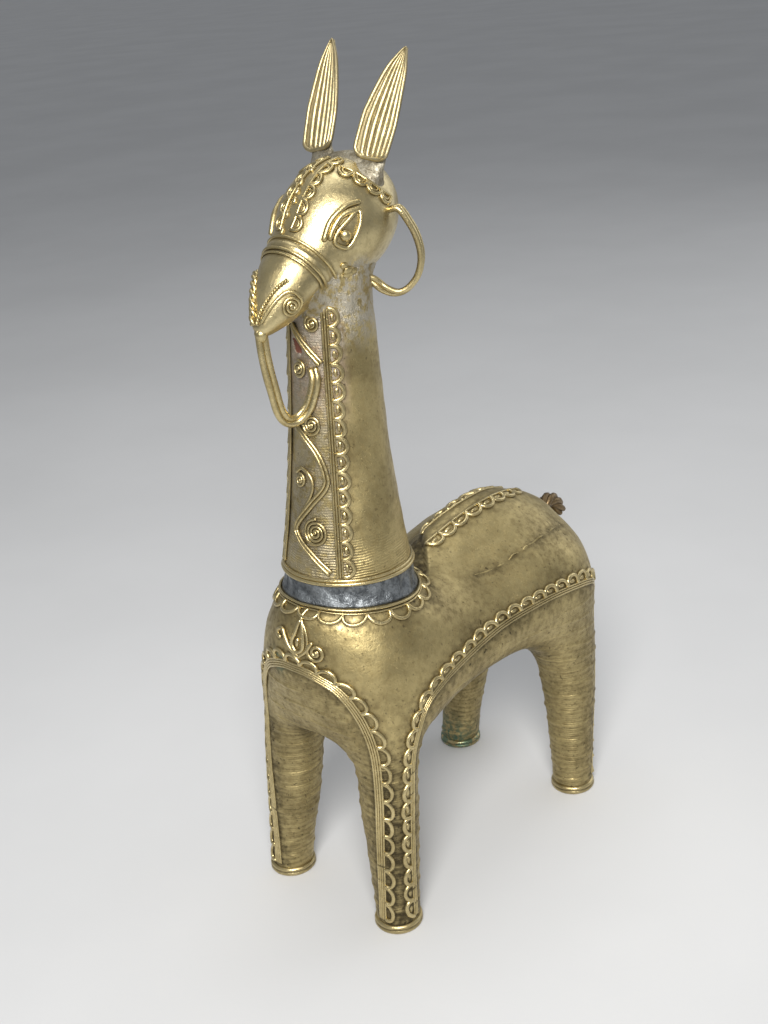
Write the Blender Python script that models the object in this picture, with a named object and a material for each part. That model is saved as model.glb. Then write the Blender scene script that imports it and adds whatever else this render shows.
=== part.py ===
"""A long-necked donkey figurine, lost-wax cast in brass over a clay core.

The body with its four legs is one hollow casting and the neck is another: the neck's spigot stands in
a socket in the shoulders and a dark solder band seals the seam. Head, ears, halter loops and tail are
brazed on. Every applied thread, scallop border and curl is a piece of its own, laid on the casting.
The figure looks along -Y, its left side is +X, and it stands on z = 0. Places below are measured from
the middle of its four feet; the figure's root empty moves them so that the origin is under the middle.
"""

import math

import bmesh
import bpy
from mathutils import Matrix, Vector
from mathutils.bvhtree import BVHTree

MM = 0.001

# Stance
MIDDLE_Y = 22.01 * MM
FOOT_FRONT = Vector((41.0, -79.5)) * MM
FOOT_REAR = Vector((44.5, 78.0)) * MM
FOOT_RING_HEIGHT = 5.0 * MM
FOOT_RING_RADIUS = 13.0 * MM
FOOT_RING_BORE = 6.5 * MM

# Casting and fits
WALL = 4.0 * MM
GAP = 0.4 * MM
THREAD_LIFT = 0.45 * MM
LEG_LIFT = 0.9 * MM
THREAD_THICK = 1.3 * MM

# Neck, a flared tube that leans a little to the rear
NECK_FOOT = Vector((0.0, -50.0, 187.0)) * MM
NECK_HEAD = Vector((0.0, -42.0, 350.0)) * MM
NECK_AXIS = (NECK_HEAD - NECK_FOOT).normalized()
NECK_WALL = 4.0 * MM
SOCKET_RADIUS = 27.0 * MM
SPIGOT_DEPTH = 14.0 * MM
PANEL_LEFT, PANEL_RIGHT = 41.0, 37.5
COLLAR_RISE = 6.0 * MM

# Head, a pointed egg on an axis that dips forward
HEAD_WALL = 3.5 * MM

# Scallop borders
LOBE_PITCH = 9.6 * MM
LOBE_HEIGHT = 4.6 * MM
BAND_WIDTH = 4.2 * MM


def mm(*values):
    return Vector(values) * MM


def clear_scene():
    for obj in list(bpy.data.objects):
        bpy.data.objects.remove(obj, do_unlink=True)


def make_material(name, colour, roughness, metallic):
    made = bpy.data.materials.new(name)
    made.use_nodes = True
    shader = made.node_tree.nodes["Principled BSDF"]
    shader.inputs["Base Color"].default_value = (*colour, 1.0)
    shader.inputs["Roughness"].default_value = roughness
    shader.inputs["Metallic"].default_value = metallic
    return made


clear_scene()
BRASS = make_material("cast_brass", (0.55, 0.42, 0.18), 0.38, 1.0)
THREAD_BRASS = make_material("thread_brass", (0.70, 0.56, 0.27), 0.30, 1.0)
SOLDER = make_material("solder", (0.12, 0.14, 0.17), 0.45, 1.0)
BRAZE = make_material("braze", (0.42, 0.38, 0.30), 0.60, 1.0)
CLAY = make_material("clay_core", (0.28, 0.09, 0.045), 0.90, 0.0)

ROOT = bpy.data.objects.new("figure", None)
ROOT.location = (0.0, -MIDDLE_Y, 0.0)
bpy.context.scene.collection.objects.link(ROOT)


def place(name, data, material):
    """A named object on the figure's root, shaded smooth where it is round."""
    obj = bpy.data.objects.new(name, data)
    bpy.context.scene.collection.objects.link(obj)
    obj.parent = ROOT
    data.materials.append(material)
    return obj


def solid(name, bm, material, sharp_angle=50.0):
    bmesh.ops.recalc_face_normals(bm, faces=bm.faces)
    mesh = bpy.data.meshes.new(name)
    bm.to_mesh(mesh)
    bm.free()
    mesh.shade_smooth()
    mesh.set_sharp_from_angle(angle=math.radians(sharp_angle))
    return place(name, mesh, material)


def hide_as_cutter(obj):
    obj.hide_render = True
    obj.display_type = "WIRE"
    return obj


def cut(target, cutter):
    modifier = target.modifiers.new("cut_" + cutter.name, "BOOLEAN")
    modifier.operation = "DIFFERENCE"
    modifier.solver = "EXACT"
    modifier.object = cutter


def loft(rings):
    """Quads between rings of equal length, with a cap on each end."""
    bm = bmesh.new()
    made = [[bm.verts.new(point) for point in ring] for ring in rings]
    count = len(made[0])
    for low, high in zip(made, made[1:]):
        for i in range(count):
            j = (i + 1) % count
            bm.faces.new((low[i], low[j], high[j], high[i]))
    bm.faces.new(reversed(made[0]))
    bm.faces.new(made[-1])
    return bm


def turned(profile, segments, foot, axis):
    """A closed profile of (radius, height) pairs turned about an axis through foot."""
    turn = Vector((0.0, 0.0, 1.0)).rotation_difference(axis).to_matrix()
    bm = bmesh.new()
    rows = []
    for k in range(segments):
        angle = 2.0 * math.pi * k / segments
        spoke = Vector((math.sin(angle), -math.cos(angle), 0.0))
        rows.append([bm.verts.new(foot + turn @ (spoke * r + Vector((0, 0, h)))) for r, h in profile])
    for k in range(segments):
        row, after = rows[k], rows[(k + 1) % segments]
        for i in range(len(profile)):
            j = (i + 1) % len(profile)
            bm.faces.new((row[i], after[i], after[j], row[j]))
    return bm


def smooth_path(points, count, closed=False):
    """Count points, evenly spaced along a Catmull-Rom curve through the given ones."""
    points = [Vector(p) for p in points]
    last = len(points) if closed else len(points) - 1
    fine = []
    for i in range(last):
        if closed:
            a, b, c, d = (points[(i + k - 1) % len(points)] for k in range(4))
        else:
            b, c = points[i], points[i + 1]
            a = points[i - 1] if i else b + (b - c)
            d = points[i + 2] if i + 2 < len(points) else c + (c - b)
        for k in range(24):
            t = k / 24
            curve = 2 * b + (c - a) * t + (2 * a - 5 * b + 4 * c - d) * t**2 + (3 * b - a - 3 * c + d) * t**3
            fine.append(0.5 * curve)
    fine.append(points[0] if closed else points[-1])
    reach = [0.0]
    for p, q in zip(fine, fine[1:]):
        reach.append(reach[-1] + (q - p).length)
    made, k = [], 0
    for i in range(count):
        goal = reach[-1] * i / (count if closed else count - 1)
        while k < len(fine) - 2 and reach[k + 1] < goal:
            k += 1
        share = (goal - reach[k]) / max(reach[k + 1] - reach[k], 1e-9)
        made.append(fine[k].lerp(fine[k + 1], share))
    return made


def path_length(points):
    return sum((q - p).length for p, q in zip(points, points[1:]))


class Surface:
    """The outside of a casting, for laying threads on it."""

    def __init__(self, obj):
        bpy.context.view_layer.update()
        self.tree = BVHTree.FromObject(obj, bpy.context.evaluated_depsgraph_get())

    def near(self, point):
        place_on, normal, _, _ = self.tree.find_nearest(point)
        return place_on, normal

    def along(self, start, direction):
        place_on, normal, _, _ = self.tree.ray_cast(start, direction)
        return place_on, normal


# Body casting

# Leg rings from hip to sole: height, half width, and how far the leg has leaned in and away by there
LEG_RINGS = ((74.0, 17.2, 6.0, 8.0), (32.0, 13.4, 2.2, 3.0), (5.4, 12.5, 0.0, 0.0))

# Half outlines across the body, chest to rump: y, then (x, z, step back) from the spine to the belly
BODY_RINGS = (
    (-88.0, ((0, 184), (22, 181), (37, 158), (45, 130), (48, 104), (17, 101, 4), (0, 105, 10))),
    (-56.0, ((0, 189), (32, 194), (47, 172), (53, 140), (54, 107), (17, 102), (0, 106))),
    (-18.0, ((0, 173), (26, 174), (43, 158), (52, 136), (50, 114), (22, 109), (0, 109))),
    (18.0, ((0, 190), (21, 168), (44, 157), (54, 138), (49, 117), (24, 111), (0, 111))),
    (56.0, ((0, 205.5), (27, 179), (49, 168), (57, 138), (53, 108), (20, 105), (0, 109))),
    (106.0, ((0, 181.5), (26, 167), (49, 154), (60, 132), (57, 104), (19, 102), (0, 106))),
)
# Middle line of the chest and of the rump: (y, z) from the spine to the belly
CHEST = ((-96, 173), (-101, 156), (-99, 130), (-90, 113), (-83, 105))
RUMP = ((120, 159.5), (130, 148), (131, 127), (122, 108), (110, 102))


def body_cage(inset, sole):
    """The low cage that the body's subdivision surface smooths. Sole is the height of the leg ends."""
    bm = bmesh.new()
    crease = bm.edges.layers.float.new("crease_edge")
    rings = []
    for y, outline in BODY_RINGS:
        left = [bm.verts.new(mm(x, y + sum(step), z)) for x, z, *step in outline]
        right = [bm.verts.new(mm(-x, y + sum(step), z)) for x, z, *step in outline[1:-1]]
        rings.append((left, [left[0], *right, left[-1]]))
    count = len(rings[0][0])
    leg_row = count - 3
    leg_spans = (0, len(rings) - 2)
    for k, (near, far) in enumerate(zip(rings, rings[1:])):
        for side in range(2):
            for i in range(count - 1):
                if i != leg_row or k not in leg_spans:
                    bm.faces.new((near[side][i], near[side][i + 1], far[side][i + 1], far[side][i]))
    for ring, column in ((rings[0], CHEST), (rings[-1], RUMP)):
        middle = [ring[0][0], *(bm.verts.new(mm(0, y, z)) for y, z in column), ring[0][-1]]
        for side in range(2):
            for i in range(count - 1):
                corners = (ring[side][i], ring[side][i + 1], middle[i + 1], middle[i])
                bm.faces.new(tuple(dict.fromkeys(corners)))
    for k, foot in zip(leg_spans, (FOOT_FRONT, FOOT_REAR)):
        for side, sign in ((0, 1.0), (1, -1.0)):
            near, far = rings[k][side], rings[k + 1][side]
            top = [near[leg_row], far[leg_row], far[leg_row + 1], near[leg_row + 1]]
            for height, half, lean_in, lean_back in LEG_RINGS:
                low = []
                for a, b in ((1, -1), (1, 1), (-1, 1), (-1, -1)):
                    x = sign * (foot.x + (a * half - lean_in) * MM)
                    low.append(bm.verts.new((x, foot.y + (b * half + lean_back) * MM, height * MM)))
                for i in range(4):
                    j = (i + 1) % 4
                    bm.faces.new((top[i], top[j], low[j], low[i]))
                top = low
            bm.faces.new(top)
            for i in range(4):
                bm.edges.get((top[i], top[(i + 1) % 4]))[crease] = 1.0
    bmesh.ops.recalc_face_normals(bm, faces=bm.faces)
    bm.normal_update()
    lowest = LEG_RINGS[-1][0] * MM
    for v in bm.verts:
        at_sole = abs(v.co.z - lowest) < 1e-6
        across = Vector((v.normal.x, v.normal.y, 0.0)).normalized() * 1.3
        v.co -= (across if at_sole else v.normal) * inset
        if at_sole:
            v.co.z = sole
    return bm


def smoothed(obj, levels):
    modifier = obj.modifiers.new("round", "SUBSURF")
    modifier.levels = levels
    modifier.render_levels = levels
    return obj


def rod(name, radius, low, high):
    """A round cutter about the neck's axis between two heights above the neck's foot."""
    bm = bmesh.new()
    bmesh.ops.create_cone(bm, cap_ends=True, segments=24, radius1=radius, radius2=radius, depth=high - low)
    turn = Vector((0.0, 0.0, 1.0)).rotation_difference(NECK_AXIS).to_matrix().to_4x4()
    bm.transform(Matrix.Translation(NECK_FOOT + NECK_AXIS * (low + high) / 2) @ turn)
    return hide_as_cutter(solid(name, bm, BRASS))


def build_body():
    shell = smoothed(solid("body_shell", body_cage(0.0, FOOT_RING_HEIGHT + GAP), BRASS, 80.0), 2)
    outside = Surface(shell)
    hollow = smoothed(solid("body_hollow", body_cage(WALL, -WALL), CLAY), 1)
    cut(shell, hide_as_cutter(hollow))
    cut(shell, rod("neck_socket", SOCKET_RADIUS, -30 * MM, 40 * MM))
    core = smoothed(solid("body_core", body_cage(WALL + 6 * GAP, 7.0 * MM), CLAY, 80.0), 1)
    cut(core, rod("core_recess", SOCKET_RADIUS + GAP, -SPIGOT_DEPTH - 2 * MM, 40 * MM))
    return outside


# Neck casting: outer radius and height above its foot

NECK_PROFILE = (
    (33.6, 0.0), (31.8, 14.0), (29.2, 31.0), (26.4, 55.0), (23.6, 87.0), (21.2, 128.0), (19.6, 150.0),
)


def neck_radius(height):
    for (r0, h0), (r1, h1) in zip(NECK_PROFILE, NECK_PROFILE[1:]):
        if height <= h1 * MM:
            return MM * (r0 + (r1 - r0) * (height / MM - h0) / (h1 - h0))
    return NECK_PROFILE[-1][0] * MM


def neck_point(degrees, height, lift=0.0):
    """A place on the neck, degrees to the figure's left of its front."""
    angle = math.radians(degrees)
    turn = Vector((0.0, 0.0, 1.0)).rotation_difference(NECK_AXIS).to_matrix()
    spoke = Vector((math.sin(angle), -math.cos(angle), 0.0)) * (neck_radius(height) + lift)
    return NECK_FOOT + turn @ (spoke + Vector((0.0, 0.0, height)))


def build_neck():
    top = NECK_PROFILE[-1][1] * MM
    outer = [(r * MM, h * MM) for r, h in NECK_PROFILE]
    inner = [(neck_radius(h) - NECK_WALL, h) for h in (top, 87 * MM, 31 * MM, 8 * MM)]
    spigot = [
        (SOCKET_RADIUS - GAP - NECK_WALL, 0.0),
        (SOCKET_RADIUS - GAP - NECK_WALL, -SPIGOT_DEPTH),
        (SOCKET_RADIUS - GAP, -SPIGOT_DEPTH),
        (SOCKET_RADIUS - GAP, 0.0),
    ]
    shell = solid("neck_shell", turned(outer + inner + spigot, 32, NECK_FOOT, NECK_AXIS), BRASS, 35.0)
    outside = Surface(shell)
    hole = bmesh.new()
    bmesh.ops.create_cone(hole, cap_ends=True, segments=8, radius1=2 * MM, radius2=2 * MM, depth=12 * MM)
    hole.transform(Matrix.Translation(neck_point(-7, 125 * MM)) @ Matrix.Rotation(math.pi / 2, 4, "X"))
    cut(shell, hide_as_cutter(solid("casting_hole", hole, BRASS)))
    core = [(0.02 * MM, -SPIGOT_DEPTH + MM), (SOCKET_RADIUS - NECK_WALL - 3 * GAP, -SPIGOT_DEPTH + MM)]
    core += [(SOCKET_RADIUS - NECK_WALL - 3 * GAP, 2 * MM)]
    core += [(neck_radius(h) - NECK_WALL - 2 * GAP, h) for h in (12 * MM, 31 * MM, 87 * MM, top)]
    core += [(0.02 * MM, top)]
    solid("neck_core", turned(core, 16, NECK_FOOT, NECK_AXIS), CLAY, 35.0)
    return outside


# Head casting: rings along the egg's axis as (y, z) centre and radius

HEAD_RINGS = (
    (-7.0, 384.0, 9.0), (-9.5, 381.5, 15.5), (-16.0, 377.0, 21.8), (-24.5, 371.5, 26.2),
    (-34.0, 365.5, 27.4), (-44.5, 359.5, 25.0), (-54.5, 353.0, 20.2), (-60.0, 350.0, 17.6),
    (-62.0, 348.5, 17.6), (-70.0, 342.0, 16.0), (-80.0, 334.0, 11.8), (-86.5, 328.8, 7.4), (-90.0, 326.0, 4.2),
)
HEAD_DIP = Vector((0.0, -0.817, -0.577))
HEAD_CROWN = Vector((0.0, -0.577, 0.817))
SIDE = Vector((1.0, 0.0, 0.0))


def head_point(index_share, degrees, lift=0.0):
    """A place on the head: 0 to 1 from poll to nose, degrees from the crown toward the figure's left."""
    reach = index_share * (len(HEAD_RINGS) - 1)
    k = min(int(reach), len(HEAD_RINGS) - 2)
    y, z, r = (a + (b - a) * (reach - k) for a, b in zip(HEAD_RINGS[k], HEAD_RINGS[k + 1]))
    angle = math.radians(degrees)
    spoke = SIDE * math.sin(angle) + HEAD_CROWN * math.cos(angle)
    return mm(0.0, y, z) + spoke * (r * MM + lift)


def head_rings(inset, segments, first, last):
    rings = []
    for y, z, r in HEAD_RINGS[first:last]:
        turns = [2 * math.pi * k / segments for k in range(segments)]
        rings.append(
            [mm(0, y, z) + (SIDE * math.sin(a) + HEAD_CROWN * math.cos(a)) * (r * MM - inset) for a in turns]
        )
    return rings


def build_head():
    shell = solid("head_shell", loft(head_rings(0.0, 24, 0, len(HEAD_RINGS))), BRASS, 50.0)
    outside = Surface(shell)
    hollow = loft(head_rings(HEAD_WALL, 16, 2, len(HEAD_RINGS) - 2))
    cut(shell, hide_as_cutter(solid("head_hollow", hollow, CLAY)))
    top = NECK_PROFILE[-1][1] * MM
    cut(shell, rod("head_socket", NECK_PROFILE[-1][0] * MM + 2.0 * MM, 100 * MM, top + 3 * MM))
    core = solid("head_core", loft(head_rings(HEAD_WALL + 6 * GAP, 12, 3, len(HEAD_RINGS) - 4)), CLAY, 50.0)
    cut(core, rod("head_core_recess", NECK_PROFILE[-1][0] * MM + 3.0 * MM, 100 * MM, top + 4 * MM))
    return outside


def bead_path(name, points, radius, material, closed=False, sides=0):
    """A round thread along the points, with closed ends."""
    curve = bpy.data.curves.new(name, "CURVE")
    curve.dimensions = "3D"
    curve.bevel_depth = radius
    curve.bevel_resolution = sides
    curve.use_fill_caps = True
    spline = curve.splines.new("POLY")
    spline.points.add(len(points) - 1)
    for target, point in zip(spline.points, points):
        target.co = (*point, 1.0)
    spline.use_cyclic_u = closed
    return place(name, curve, material)


def laid(surface, points, lift):
    """The points moved onto a surface and then off it by lift."""
    made = []
    for point in points:
        spot, normal = surface.near(point)
        made.append(spot + normal * lift)
    return made


def thread(name, surface, points, radius, count, closed=False, material=THREAD_BRASS):
    path = laid(surface, smooth_path(points, count, closed), radius + THREAD_LIFT)
    return bead_path(name, path, radius, material, closed)


def border(name, surface, guide, toward, height=LOBE_HEIGHT, pitch=LOBE_PITCH, width=BAND_WIDTH, steps=2,
           closed=False, lift=THREAD_LIFT):
    """A flat thread band with a row of scallop lobes on one side, laid on a surface.

    The lobes stand on the side of the guide where toward(point) leads.
    """
    rough = smooth_path(guide, 160, closed)
    length = path_length(rough + rough[:1] if closed else rough)
    lobes = max(3, round(length / pitch))
    samples = lobes * steps if closed else lobes * steps + 1
    path = smooth_path(guide, samples, closed)
    shares = (0.1, 1.0) if steps == 2 else (0.12, 1.0, 1.0)
    rows = []
    for i, point in enumerate(path):
        spot, normal = surface.near(point)
        before = path[i - 1] if i or closed else path[i]
        after = path[(i + 1) % samples] if i + 1 < samples or closed else path[i]
        out = (after - before).cross(normal).normalized()
        if out.dot(toward(point)) < 0:
            out.negate()
        columns = []
        for reach in (-width, 0.0, 0.35 * MM + height * shares[i % steps]):
            foot, up = surface.near(spot + out * reach)
            columns.append((foot + up * lift, foot + up * (lift + THREAD_THICK)))
        rows.append([low for low, _ in columns] + [high for _, high in reversed(columns)])
    bm = bmesh.new()
    made = [[bm.verts.new(point) for point in row] for row in rows]
    count = len(made[0])
    pairs = list(zip(made, made[1:])) + ([(made[-1], made[0])] if closed else [])
    for low, high in pairs:
        for i in range(count):
            j = (i + 1) % count
            bm.faces.new((low[i], low[j], high[j], high[i]))
    if not closed:
        bm.faces.new(made[0])
        bm.faces.new(reversed(made[-1]))
    return solid(name, bm, THREAD_BRASS, 30.0)


def coil(name, surface, centre, outward_turn, radius, turns, thickness, up, handed=1.0):
    """A flat spiral thread on a surface, wound from its middle out."""
    spot, normal = surface.near(centre)
    right = up.cross(normal).normalized()
    top = normal.cross(right)
    steps = int(turns * 9)
    points = []
    for k in range(steps + 1):
        angle = math.radians(outward_turn) + handed * 2 * math.pi * turns * (k / steps - 1.0)
        reach = thickness * 0.9 + (radius - thickness * 0.9) * k / steps
        points.append(spot + (right * math.cos(angle) + top * math.sin(angle)) * reach)
    return bead_path(name, laid(surface, points, thickness + THREAD_LIFT), thickness, THREAD_BRASS)


def fillet(name, surface, centre, axis, inner, width, height, stretch=1.0, across=SIDE, first=0, last=360):
    """A ring of filler metal round a stem: it lies on the surface and climbs the stem.

    The axis leads away from the surface. Stretch makes the ring an oval, longer along the across vector.
    First and last are the degrees that the ring covers, from across.
    """
    axis = axis.normalized()
    right = (across - axis * across.dot(axis)).normalized()
    other = axis.cross(right)
    whole = last - first == 360
    segments = 16
    bm = bmesh.new()
    rows = []
    for k in range(segments if whole else segments + 1):
        angle = math.radians(first + (last - first) * k / segments)
        near = right * (math.cos(angle) * inner * stretch) + other * (math.sin(angle) * inner)
        far = near + near.normalized() * width
        row = []
        for spoke, rise in ((near, 2 * GAP), (far, 2 * GAP), (far, 2 * GAP + MM), (near, height)):
            spot, _ = surface.along(centre + spoke + axis * 40 * MM, -axis)
            row.append(bm.verts.new(spot + axis * rise))
        rows.append(row)
    pairs = list(zip(rows, rows[1:]))
    if whole:
        pairs.append((rows[-1], rows[0]))
    else:
        bm.faces.new(rows[0])
        bm.faces.new(reversed(rows[-1]))
    for row, after in pairs:
        for i in range(4):
            j = (i + 1) % 4
            bm.faces.new((row[i], after[i], after[j], row[j]))
    return solid(name, bm, BRAZE, 40.0)


def mirrored(points):
    return [Vector((-p.x, p.y, p.z)) for p in points]


def both_sides(points):
    """A path on the figure's left and its mirror image, with the side's name and sign."""
    return (("left", 1.0, points), ("right", -1.0, mirrored(points)))


def mm_path(*triples):
    return [mm(*t) for t in triples]


def add_body_ornament(body):
    arch_side = mm_path(
        (51, -79.4, 8), (51, -77, 35), (51, -74.5, 60), (50, -69.6, 94), (50.4, -64, 112),
        (51.3, -55, 127), (51.3, -38.6, 135), (50.2, -16.2, 139.6), (50, 10.2, 143.4), (51.8, 34.7, 144.4),
        (53.9, 60, 143.6), (52.9, 86.5, 138.9), (49, 103, 131), (48, 111, 118), (50, 110, 100), (51, 104, 72),
        (53, 96, 42), (54, 86, 8),
    )
    arch_front = mm_path(
        (0, -96, 154), (8, -95, 153.5), (17, -93, 150.5), (25, -90, 146), (32, -87, 138), (38, -84, 125),
        (42, -82.5, 107), (43.5, -84, 81), (43.3, -87, 48), (43, -90.5, 8),
    )
    arch_rear = mm_path(
        (0, 126, 152), (14, 124, 149), (22, 121, 143), (27, 118, 134), (30, 116, 120), (31, 114, 100),
        (34, 109, 75), (38.5, 100, 45), (41, 91, 8),
    )
    for name, sign, path in both_sides(arch_side):
        border("side_border_" + name, body, path, lambda p, m=mm(sign * 45, 10, 90): p - m, lift=LEG_LIFT)
    for name, path in (("front_border", arch_front), ("rear_border", arch_rear)):
        whole = list(reversed(mirrored(path)))[:-1] + path
        border(name, body, whole, lambda p, m=Vector((0.0, path[0].y, 60 * MM)): p - m, lift=LEG_LIFT)
    row_left = mm_path(
        (3, 7, 181), (4.6, 25.4, 184.8), (6.3, 43, 188.3), (6.8, 56.7, 189.3), (4.8, 75.4, 186.9), (1, 91, 181.5),
    )
    row_right = mm_path(
        (-9, 17, 180.5), (-6, 29, 185.6), (-2.5, 41.5, 189), (-1.4, 54, 190.6), (-4.3, 75, 187), (-6.5, 88, 182),
    )
    for name, sign, path in (("left", 1.0, row_left), ("right", -1.0, row_right)):
        border("back_border_" + name, body, path, lambda p, s=sign: SIDE * s, width=2.0 * MM, steps=3)
    petal = mm_path(
        (4, -91, 175.5), (6.4, -93, 168.5), (6, -94.5, 164.2), (3.2, -95.5, 162), (0.4, -95, 164.2),
        (0.9, -94, 168.5),
    )
    thread("chest_flower", body, petal, 0.9 * MM, 14, closed=True)
    for name, sign, x, z in (("left", 1.0, 14.4, 163.6), ("right", -1.0, -8.0, 167.0)):
        coil("chest_coil_" + name, body, mm(x, -94, z), 180 if sign > 0 else 0, 4.0 * MM, 1.6, 0.8 * MM,
             mm(0, 0, 1), sign)
    root, normal = body.near(mm(0, 120, 163))
    path = [root + normal * 2 * GAP, root + mm(0, 8, 2.8), root + mm(0, 17, 0), root + mm(0, 24, -8)]
    tail = bead_path("tail", smooth_path(path, 6), 4.2 * MM, BRASS, sides=2)
    for point, share in zip(tail.data.splines[0].points, (1.0, 0.95, 1.0, 1.1, 1.0, 0.7)):
        point.radius = share


def add_collar(body):
    stem = SOCKET_RADIUS + GAP
    sleeve = NECK_PROFILE[0][0] * MM + GAP
    turn = Vector((0.0, 0.0, 1.0)).rotation_difference(NECK_AXIS).to_matrix()
    segments = 40
    bm = bmesh.new()
    rows = []
    for k in range(segments):
        angle = 2 * math.pi * k / segments
        spoke = Vector((math.sin(angle), -math.cos(angle), 0.0))
        row = []
        for reach in (stem, 31.0 * MM, 34.8 * MM):
            spot, _ = body.along(NECK_FOOT + spoke * reach + mm(0, 0, 60), mm(0, 0, -1).normalized())
            row.append(bm.verts.new(spot + mm(0, 0, 0.8)))
        seat, top = -GAP, COLLAR_RISE - GAP
        for reach, height in ((35.4 * MM, top), (sleeve, top), (sleeve, seat), (stem, seat)):
            row.append(bm.verts.new(NECK_FOOT + turn @ spoke * reach + NECK_AXIS * height))
        rows.append(row)
    corners = len(rows[0])
    for k in range(segments):
        row, after = rows[k], rows[(k + 1) % segments]
        for i in range(corners):
            j = (i + 1) % corners
            bm.faces.new((row[i], after[i], after[j], row[j]))
    solid("collar_solder", bm, SOLDER, 40.0)
    low, high = COLLAR_RISE, COLLAR_RISE + 3.2 * MM
    ring = [(neck_radius(low) + GAP, low), (35.6 * MM, low), (36.2 * MM, low + 1.4 * MM), (35.4 * MM, high)]
    ring.append((neck_radius(high) + 2 * GAP, high))
    solid("collar_upper_ring", turned(ring, 40, NECK_FOOT, NECK_AXIS), THREAD_BRASS, 40.0)
    circle = []
    for k in range(44):
        angle = 2 * math.pi * k / 44
        point = NECK_FOOT + Vector((math.sin(angle), -math.cos(angle), 0.0)) * 36.8 * MM + mm(0, 0, 60)
        spot, _ = body.along(point, mm(0, 0, -1).normalized())
        circle.append(spot)
    bead_path("collar_lower_ring", laid(body, circle, 1.2 * MM + THREAD_LIFT), 1.2 * MM, THREAD_BRASS, True)
    outer = []
    for spot in circle:
        away = spot - NECK_FOOT
        away.z = 0
        outer.append(spot + away.normalized() * 2.9 * MM + mm(0, 0, -1.5))
    border("collar_scallops", body, outer, lambda p: Vector((p.x, p.y - NECK_FOOT.y, 0.0)), height=3.8 * MM,
           pitch=11.4 * MM, width=1.0 * MM, closed=True, lift=0.75 * MM)


def add_neck_ornament(neck):
    for name, sign, angle in (("left", 1.0, PANEL_LEFT), ("right", -1.0, PANEL_RIGHT)):
        edge = [neck_point(sign * angle, h * MM) for h in (12.5, 40, 80, 120, 141)]
        border("neck_border_" + name, neck, edge, lambda p, s=sign: SIDE * s, height=4.4 * MM, pitch=8.7 * MM,
               width=3.4 * MM)
    wave = ((-14, 85), (16, 73), (27, 62), (25, 55), (7, 45), (-12, 33), (-6, 27), (9, 21), (27, 13.5))
    thread("neck_wave", neck, [neck_point(a, h * MM) for a, h in wave], 1.1 * MM, 30)
    thread("neck_bar", neck, [neck_point(0, 131 * MM), neck_point(26, 114 * MM)], 1.1 * MM, 5)
    coils = ((20, 135, -1), (-8, 107, 1), (18, 82, -1), (-10, 56, 1), (17, 34, -1))
    for k, (angle, height, handed) in enumerate(coils):
        coil(f"neck_coil_{k + 1}", neck, neck_point(angle, height * MM), 90, 3.7 * MM, 1.7, 0.75 * MM,
             mm(0, 0, 1), handed)


def add_head_ornament(head):
    share = 1.0 / (len(HEAD_RINGS) - 1)
    face = mm_path((6, -38, 393), (7, -46, 389), (7.5, -54, 382), (7.5, -61, 373.5), (6.8, -66, 367))
    poll = mm_path((9, -37, 391), (17.5, -35.5, 387), (23.2, -29.5, 380.8), (23.6, -26.4, 378))
    brow = mm_path((15.8, -60.3, 365), (18, -54.5, 375), (22.3, -44.5, 379))
    whisker = mm_path((9.1, -83.5, 341.7), (6.7, -86.9, 338.1), (4.7, -89.4, 334.3), (3.2, -91, 331.2))
    drop = ((0, 11.5), (2.2, 6.0), (4.2, 0.6), (3.6, -3.6), (0, -5.6), (-3.6, -3.6), (-4.2, 0.6), (-2.2, 6.0))
    for sign, name in ((1.0, "left"), (-1.0, "right")):
        def sided(path, s=sign):
            return path if s > 0 else mirrored(path)

        border("face_border_" + name, head, sided(face), lambda p, s=sign: SIDE * s, height=3.4 * MM,
               pitch=7.6 * MM, width=2.2 * MM, steps=3)
        border("poll_border_" + name, head, sided(poll), lambda p: HEAD_DIP, height=3.6 * MM, pitch=8.4 * MM,
               width=1.4 * MM, steps=3)
        spot, normal = head.near(mm(sign * 22.7, -50.7, 365.1))
        up = mm(sign * 1.2, 8.1, 9.9)
        up = (up - normal * up.dot(normal)).normalized()
        wide = up.cross(normal).normalized()
        rim = [spot + wide * a * MM + up * b * MM for a, b in drop]
        thread("eye_rim_" + name, head, rim, 0.9 * MM, 14, True)
        turns = [2 * math.pi * k / 10 for k in range(10)]
        rings = [
            [spot + (wide * math.cos(a) + up * math.sin(a)) * reach + normal * rise for a in turns]
            for reach, rise in ((2.2 * MM, THREAD_LIFT), (2.1 * MM, 1.4 * MM), (1.3 * MM, 2.3 * MM))
        ]
        solid("eye_bead_" + name, loft(rings), THREAD_BRASS, 50.0)
        thread("brow_" + name, head, sided(brow), 1.2 * MM, 8)
        coil("nostril_coil_" + name, head, mm(sign * 12.2, -79.6, 336.9), 90, 5.0 * MM, 2.2, 0.75 * MM,
             HEAD_CROWN, -sign)
        thread("nostril_thread_" + name, head, sided(whisker), 0.8 * MM, 5)
    band = [head_point(7.5 * share, 8 * k) for k in range(-13, 14)]
    bead_path("noseband", laid(head, band, MM + THREAD_LIFT), MM, THREAD_BRASS)
    stem = NECK_PROFILE[-1][0] * MM
    fillet("jaw_braze", head, NECK_FOOT + NECK_AXIS * 120 * MM, -NECK_AXIS, stem + 1.5 * MM, 2.0 * MM, 5.0 * MM,
           first=-172, last=-8)


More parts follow.
